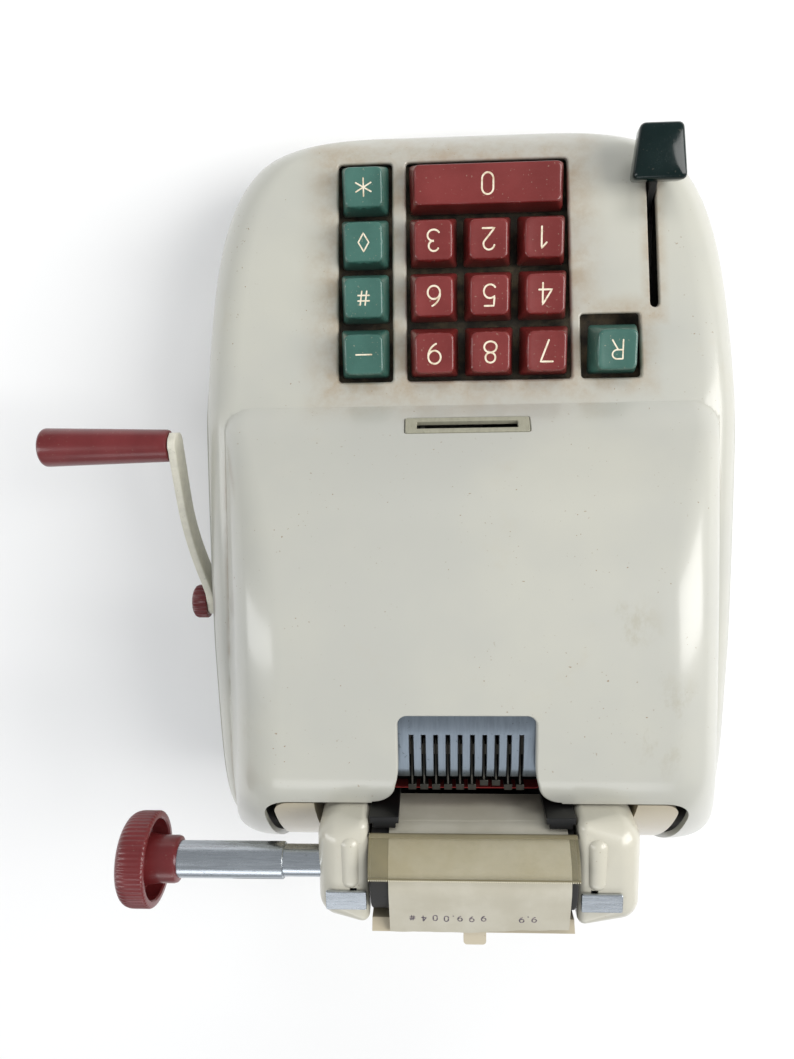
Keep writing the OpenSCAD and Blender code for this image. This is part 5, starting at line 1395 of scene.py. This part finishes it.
# %% The two end covers, hollow and with their holes
def end_cover(name, side, x_in, x_out, axle):
    s = 1 if side == "right" else -1
    obj = cover_body(name, s, x_in, x_out)
    cut(obj, cover_pad(s * (x_in + 6)), "UNION")
    for what, a, b, y0, y1, z0, z1 in (
        ("cavity", x_in + 1.8, x_out - 4.2, C_FRONT + 3.8, C_REAR - 3.8, COVER_Z - 1, COVER_TOP - 5.2),
        ("pocket", x_in + 1.8, x_out - 5.8, 105.0, C_REAR - 3.8, COVER_Z, COVER_TOP - 2.2),
        ("leg", x_in + 3.9, x_in + 6.2, 114.6, 120.1, COVER_TOP - 8, COVER_TOP + 9),
    ):
        x0, x1 = sorted((s * a, s * b))
        plan = np.array([(x0, y0), (x1, y0), (x1, y1), (x0, y1)])
        cut(obj, box_cutter(what, plan, z0, z1))
    xs = sorted((s * (x_in - 1), s * (x_in + 4)))
    cut(obj, side_cutter("shaft", CIRCLE * 3.3 + (PLATEN_Y, PLATEN_Z), *xs))
    if axle:
        cut(obj, side_cutter("tube", CIRCLE * 5.5 + (PLATEN_Y, PLATEN_Z), x_in + 4, x_out + 1))
    mod = obj.modifiers.new("weighted", "WEIGHTED_NORMAL")
    mod.keep_sharp = True
    return piece(obj, COVER, "chassis", [f"end_cover_{side}"], 32)


end_cover("cover_right_skin", "right", 35.0, 52.0, True)
end_cover("cover_left_skin", "left", 32.8, 53.4, False)
print("covers:", PIECES[-2:])


# %% [markdown]
# ## Flat pieces with soft edges
#
# Tabs, plates, brackets and bars are flat in real life too, so their CAD solids are right as they are, but
# for the edges: no real edge is perfectly sharp, and it is the small bright line on an edge that tells the
# eye how big a thing is. `soften` copies the solid, joins its triangles back into flat faces and lets a
# bevel round the edges. `reshape` can move the points on the way, where the photograph shows a piece a
# little nearer, shorter or further back than its solid.


# %% Soften the edges of a flat CAD solid
def clean_mesh(mesh, reshape):
    bm = bmesh.new()
    bm.from_mesh(mesh)
    bmesh.ops.remove_doubles(bm, verts=bm.verts, dist=2e-6)
    bmesh.ops.dissolve_limit(bm, angle_limit=math.radians(1.0), verts=bm.verts, edges=bm.edges)
    for v in bm.verts if reshape else ():
        v.co = metres(reshape(v.co.x * 1000 + OX, v.co.y * 1000 + OY, v.co.z * 1000))
    bm.to_mesh(mesh)
    bm.free()
    if "custom_normal" in mesh.attributes:
        mesh.attributes.remove(mesh.attributes["custom_normal"])


def bevel(obj, width, angle):
    mod = obj.modifiers.new("soft", "BEVEL")
    mod.width, mod.segments, mod.limit_method = width / 1000, 2, "ANGLE"
    mod.angle_limit = math.radians(angle)


def soften(node, material, width=0.25, slot=None, reshape=None):
    """A copy of a CAD node with its edges rounded. reshape maps x, y, z in mm."""
    obj = NODES[node].copy()
    obj.data = obj.data.copy()
    obj.name = node + "_skin"
    for key in list(obj.keys()):
        del obj[key]
    obj.parent = None
    bpy.context.scene.collection.objects.link(obj)
    clean_mesh(obj.data, reshape)
    bevel(obj, width, 35.0)
    obj.modifiers.new("weighted", "WEIGHTED_NORMAL").keep_sharp = True
    return piece(obj, material, BODY[node], [node], 40.0)


print("pieces before the flat ones:", len(PIECES))


# %% How some pieces differ from their solids
def nearer_comb(x, y, z):
    return x, 57.0 + (y - 52.0) * 0.95 + max(0.0, y - 63.8) * 0.52, z


def further_back(x, y, z):
    return x, y + 5.0, z


def shorter_shaft(x, y, z):
    return min(x, 110.6), y, z


def drawn_in(x, y, z):
    """The base plate narrows with the skirt."""
    edge = (HALF_W - 3.0) * corners(y, 0) * skirt_fade(y)
    return x * (1 - 0.033 * smoothstep((abs(x) / max(edge, 1.0) - 0.8) / 0.15)), y, z


print("rim of the base plate:", round(drawn_in(HALF_W - 3.0, 0, 0)[0], 1), "mm from the middle")

# %% The softened pieces
SOFT_PIECES = (
    ("release_tab_right", CHROME, 0.35, "chrome", None),
    ("release_tab_left", CHROME, 0.35, "chrome", None),
    ("paper_guide", CREAM, 0.3, "panel_enamel", None),
    ("paper_finger_right", BLACK, 0.3, "black_paint", None),
    ("paper_finger_left", BLACK, 0.3, "black_paint", None),
    ("indicator_frame", FRAME, 0.25, "indicator_plate", None),
    ("type_comb", COMB, 0.25, "chrome", nearer_comb),
    ("type_bars", TYPE, 0.12, "steel", further_back),
    ("ink_ribbon", RIBBON, 0.02, "ribbon_cloth", further_back),
    ("crank_shaft", STEEL, 0.2, "steel", shorter_shaft),
    ("base_plate", BASE, 0.3, "base_paint", drawn_in),
    ("base_screws", STEEL, 0.1, "steel", drawn_in),
    ("lever_arm", BLACK, 0.3, "black_paint", None),
)
for row in SOFT_PIECES:
    soften(*row)
print("softened:", PIECES[-len(SOFT_PIECES):])

# %% [markdown]
# ## The cream panel in the notch
#
# Behind the hood the real machine shows a cream panel that runs down beside the carriage, at nearly the
# height of the hood. It follows the curve of the hood, so its side view is that curve, thickened and drawn
# across the machine, and its plan is cut out of it. Two cheeks close the gaps beside the end covers.


# %% Cream panel in the notch
def rear_panel():
    line = [(y, hood_top(y, 0) - 2.6) for y in np.linspace(89, 141.5, 44)]
    slab = line + [(y - 1.1, z - 1.8) for y, z in line[::-1]]
    panel = side_cutter("rear_panel_skin", np.array(slab), -80, 80)
    for x in (-55.9, 54.3):
        cheek = np.array([(94, 90), (119, 90), (119, hood_top(119, 0) - 3.2), (94, hood_top(94, 0) - 3.2)])
        cut(panel, side_cutter("cheek", cheek, x, x + 1.6), "UNION")
    cut(panel, box_cutter("plan", rounded(-68.6, 68.6, 93.2, 139.5, 5.5), 40, 200), "INTERSECT")
    cut(panel, box_cutter("covers", rounded(-54.3, 54.3, 80, 126.5, 2), 40, 200))
    bevel(panel, 0.4, 50)
    return piece(panel, CREAM, "chassis", ["rear_panel"], 40)


print("panel vertices:", len(rear_panel().data.vertices))

# %% [markdown]
# ## Paper
#
# The real strip climbs the front of the platen, passes over it and ends in a torn, wavy edge. Cloth
# simulation could lay it there, but the way of the paper is simple: a straight line up, an arc round the
# roller and a straight tail down. `paper_path` walks along it, and the sheet is a grid over that path,
# doubled for its thickness. The torn edge is a sum of three sine waves, so it is the same in every run.

# %% A thin sheet from two layers of a grid
def sheet_faces(rows, columns):
    """Faces of two layers of (rows + 1) x (columns + 1) points, closed round their edge."""
    faces, m = [], (rows + 1) * (columns + 1)
    for i in range(rows):
        for j in range(columns):
            a = i * (columns + 1) + j
            faces.append((a, a + 1, a + columns + 2, a + columns + 1))
            faces.append((m + a, m + a + columns + 1, m + a + columns + 2, m + a + 1))
    edge = list(range(columns + 1)) + [i * (columns + 1) + columns for i in range(1, rows + 1)]
    edge += [rows * (columns + 1) + j for j in range(columns - 1, -1, -1)]
    edge += [i * (columns + 1) for i in range(rows - 1, 0, -1)]
    for a, b in zip(edge, edge[1:] + edge[:1]):
        faces.append((a, b, b + m, a + m))
    return faces


def round_platen(x, r, a):
    """A point at radius r and angle a round the axis of the platen."""
    return x, PLATEN_Y + r * math.cos(a), PLATEN_Z + r * math.sin(a)


print("faces of a sheet of 2 x 2 squares:", len(sheet_faces(2, 2)))

# %% The way of the paper
PAPER_X, PAPER_W, PAPER_R, PAPER_LOW = -0.8, 58.0, PLATEN_R + 0.65, 108.0
OFF = math.radians(78)
END_Y = PLATEN_Y + PLATEN_R + 4.3
TAIL_Y, TAIL_Z = round_platen(0, PAPER_R, OFF)[1:]


def torn(x):
    u = (x - PAPER_X) / (PAPER_W / 2)
    wave = 0.9 * math.sin(2.1 * u + 0.4) + 0.35 * math.sin(6.3 * u + 1.0) + 0.16 * math.sin(17 * u)
    return END_Y - 0.9 + 0.65 * wave - 0.96 * u * u * (u < 0)


def paper_path(x, t):
    """Point of the upper face: t from 0 at the low front end to 1 at the torn edge."""
    climb, turn = PLATEN_Z - PAPER_LOW, (math.pi - OFF) * PAPER_R
    s = t * (climb + turn + (torn(x) - TAIL_Y) / math.sin(OFF))
    if s < climb:
        return PLATEN_Y - PAPER_R, PAPER_LOW + s
    if s < climb + turn:
        return round_platen(x, PAPER_R, math.pi - (s - climb) / PAPER_R)[1:]
    s -= climb + turn
    return TAIL_Y + s * math.sin(OFF), TAIL_Z - s * math.cos(OFF)


print("torn edge near y", round(torn(0), 1))

# %% Paper strip
columns, rows, points = 88, 70, []
for layer in (0.0, -0.28):
    for i in range(rows + 1):
        for j in range(columns + 1):
            x = PAPER_X - PAPER_W / 2 + PAPER_W * j / columns
            y, z = paper_path(x, i / rows)
            a = min(max(math.atan2(z - PLATEN_Z, y - PLATEN_Y), OFF), math.pi)
            points.append((x, y + layer * math.cos(a), z + layer * math.sin(a)))
paper = fix_normals(raw_mesh("paper_skin", points, sheet_faces(rows, columns)))
piece(paper, PAPER_WITH_PAINTED_SHADE, "chassis", ["paper_strip"], 50)
print("paper:", len(paper.data.vertices), "vertices")

# %% [markdown]
# ## Print
#
# The last sum is printed in one row, a little unevenly, as type bars strike it. The same stroke figures
# serve again, laid a hair above the paper.


# %% Printed row on the paper
PRINT_Y, PRINT_SIZE, PRINT_LINE = 123.4, 2.3, 0.42
ROW = [("9", -17.6), (".", -15.6), ("9", -13.6), ("9", -1.4), ("9", 2.4), ("9", 6.2)]
ROW += [(".", 8.4), ("0", 10.6), ("0", 14.2), ("4", 17.8), ("hash", 21.6)]


def paper_height(x, y):
    if y > TAIL_Y:
        return TAIL_Z - (y - TAIL_Y) * math.tan(math.pi / 2 - OFF)
    return PLATEN_Z + math.sqrt(max(0.0, PAPER_R**2 - (y - PLATEN_Y) ** 2))


verts, faces = [], []
for i, (what, dx) in enumerate(ROW):
    y = PRINT_Y + 0.18 * math.sin(3.7 * i)
    v, f = figure(what, PAPER_X + dx, y, PRINT_SIZE, PRINT_LINE, paper_height, 0.02)
    faces += [tuple(k + len(verts) for k in q) for q in f]
    verts += v
piece(raw_mesh("printed_row", verts, faces), PRINT, "chassis", (), None)
print("printed figures:", len(ROW))

# %% [markdown]
# ## Guard sheet
#
# The real guard is a curved clear sheet over the paper, whose toothed rear edge tears it off. It is the
# same doubled grid, with every second point of the rear edge drawn back for the teeth. Its edges catch the
# light, which a see-through material alone would not show, so a bead lies along its front edge, a
# narrow band and a row of small light teeth along its rear edge.

# %% Clear guard with a toothed rear edge
GUARD_R, GUARD_T, TEETH = PLATEN_R + 1.6, 0.8, 96
GUARD_REAR, GUARD_FRONT, TOOTH = math.radians(103), math.radians(153), math.radians(2.2)
GUARD_X0, GUARD_X1 = -32.4, 34.6
GUARD_W = GUARD_X1 - GUARD_X0
columns, rows, points = TEETH * 2, 22, []
for r in (GUARD_R + GUARD_T, GUARD_R):
    for i in range(rows + 1):
        for j in range(columns + 1):
            a = GUARD_FRONT + (GUARD_REAR + TOOTH * (j % 2) - GUARD_FRONT) * i / rows
            points.append(round_platen(GUARD_X0 + GUARD_W * j / columns, r, a))
guard = fix_normals(raw_mesh("guard_sheet", points, sheet_faces(rows, columns)))
piece(guard, GUARD, "guard", ["tear_guard"], 40)
print("guard:", len(guard.data.vertices), "vertices")

# %% Bead on the front edge and band along the rear edge
bar = [(GUARD_X0, 0.5), (GUARD_X0 + 0.2, 0.78), (GUARD_X1 - 0.2, 0.78), (GUARD_X1, 0.5)]
bead = lathe("guard_bead", bar, *round_platen(0, GUARD_R + GUARD_T / 2, GUARD_FRONT)[1:], 20)
piece(bead, GUARD_EDGE, "guard", ())


def guard_strip(name, a, half, r, material):
    """A narrow band along the guard at an angle round the platen, half its width in mm to each side."""
    turn, lift = half / r, 0.12
    corners_of_band = ((a - turn, 0.0), (a - turn, lift), (a + turn, lift), (a + turn, 0.0))
    rings = []
    for x in (GUARD_X0 + 0.1, GUARD_X1 - 0.1):
        rings.append(np.array([round_platen(x, r + up, b) for b, up in corners_of_band]))
    return piece(fix_normals(raw_mesh(name, *loft(rings))), material, "guard", (), 30)


guard_strip("guard_line", GUARD_REAR + math.radians(3.2), 0.28, GUARD_R + GUARD_T + 0.02, GUARD_EDGE)
print("edges of the guard:", PIECES[-2:])

# %% Teeth that catch the light
verts = []
for i in range(TEETH):
    x = GUARD_X0 + GUARD_W * (i + 0.5) / TEETH
    for dx, back in ((-0.2, 2.2), (0.2, 2.2), (0.0, 0.6)):
        verts.append(round_platen(x + dx, GUARD_R + GUARD_T + 0.15, GUARD_REAR + math.radians(back)))
faces = [(3 * i, 3 * i + 1, 3 * i + 2) for i in range(TEETH)]
piece(raw_mesh("guard_teeth", verts, faces), GUARD_TOOTH, "guard", (), None)
print("guard teeth:", TEETH)

# %% [markdown]
# ## Indicator marks
#
# Small marks stand below the slot of the indicator frame, two of them red. They are printed on, so each
# is one flat quad that lies just above the plate.

# %% Marks of the indicator
MARKS = (11.2, 6.8, 3.3, -0.7, -5.0, -9.2, -13.0, 14.6)


def mark_ink(name, colour):
    p = Paint(name, colour, 0.6)
    return p.feed("Roughness", 0.5 + 0.2 * p.noise(500)).material


MARK, MARK_RED = mark_ink("mark_dark", srgb(70, 66, 58)), mark_ink("mark_red", srgb(150, 52, 46))
for i, u in enumerate(MARKS):
    quad = [in_window(u + a, b, 0.22) for a, b in ((-0.3, -2.9), (0.3, -2.9), (0.3, -2.1), (-0.3, -2.1))]
    ink = MARK_RED if i in (2, 3) else MARK
    piece(raw_mesh(f"mark_{i}", quad, [(0, 1, 2, 3)]), ink, "chassis", (), None)
print("marks:", len(MARKS))

# %% [markdown]
# ## The other CAD solids
#
# The inner pieces are plain bars, plates and rollers that are hardly seen, and the feet are simple too.
# They are shown as packed: each node gets the finish of its material slot.

# %% Finishes for the nodes that stay
FINISH = {
    "rubber": RUBBER, "steel": STEEL, "bed_paint": BED, "indicator_strip": SCALE, "chrome": COMB,
    "spool_plastic": OFF_WHITE, "black_paint": BLACK, "brass": BRASS,
}
SLOTS = {s["node"]: s["material_slot"] for s in frame["record"]["subparts"]}
kept = [n for n, o in NODES.items() if not o.hide_render]
for n in kept:
    NODES[n].data.materials.clear()
    NODES[n].data.materials.append(FINISH[SLOTS[n]])
print("shown as packed:", len(kept), "skins:", len(PIECES))

# %% [markdown]
# ## Studio
#
# The photograph has an even, pale surrounding, one large soft light from the side away from the crank, which
# draws the streak along the hood, and little shadow. An environment picture could light it, but four area
# lamps and a pale world are easier to aim. The fill at the front stays out of reflections, because its
# straight edges would show in the enamel.

# %% Floor and background
bpy.ops.mesh.primitive_plane_add(size=14, location=(0, 0, -0.0005))
floor = bpy.context.object
floor.name = "floor"
p = Paint("floor_paint", (0.86, 0.86, 0.86), 0.9)
p.feed("Roughness", 0.85 + 0.1 * p.noise(3))
floor.data.materials.append(p.material)
world = bpy.data.worlds.new("studio")
bpy.context.scene.world = world
world.use_nodes = True
sky = world.node_tree.nodes["Background"]
sky.inputs[0].default_value = (0.94, 0.97, 1.0, 1.0)
sky.inputs[1].default_value = 0.42
print("floor:", [round(v, 1) for v in floor.dimensions], "m")


# %% Lights
def lamp(name, where, aim, size, power, colour=(1, 1, 1)):
    data = bpy.data.lights.new(name, "AREA")
    data.shape, data.size, data.size_y = "RECTANGLE", size[0], size[1]
    data.energy, data.color = power, colour
    obj = bpy.data.objects.new(name, data)
    bpy.context.scene.collection.objects.link(obj)
    obj.location = where
    obj.rotation_euler = (Vector(aim) - Vector(where)).to_track_quat("-Z", "Y").to_euler()
    return obj


lamp("window", (-1.25, -0.2, 1.05), (-0.02, 0, 0.06), (0.9, 1.3), 24, (1.0, 0.985, 0.96))
lamp("strip", (1.15, 0.1, 0.85), (0.02, 0.02, 0.06), (0.35, 1.4), 6.5)
lamp("rear", (0.1, 1.2, 1.0), (0, 0, 0.06), (1.2, 0.5), 4, (0.97, 0.98, 1.0))
lamp("front", (-0.25, -1.25, 0.8), (0, -0.02, 0.07), (0.8, 0.4), 6).visible_glossy = False

# %% [markdown]
# ## Camera
#
# The view was solved from the photograph: nearly straight down, a third of a metre above the table,
# with the machine upside down in the picture. A camera this close shows the height of the machine by
# perspective, so its place and turn are set as numbers and not aimed by eye.

# %% Camera
cam_data = bpy.data.cameras.new("camera")
cam_data.sensor_fit, cam_data.sensor_width, cam_data.lens = "AUTO", 36.0, 27.2
cam_data.clip_start, cam_data.clip_end = 0.01, 30
camera = bpy.data.objects.new("camera", cam_data)
bpy.context.scene.collection.objects.link(camera)
turn = Matrix(((-0.99871, -0.01022, -0.04973), (0.02084, -0.97574, -0.21794), (-0.04624, -0.21844, 0.97357)))
camera.matrix_world = Matrix.Translation(metres([(11.6, -56.0, 363.0)])[0]) @ turn.to_4x4()
bpy.context.scene.camera = camera
scene = bpy.context.scene
scene.view_settings.view_transform = "Standard"
scene.view_settings.look = "None"
print("camera at", [round(v, 3) for v in camera.location])

# %% [markdown]
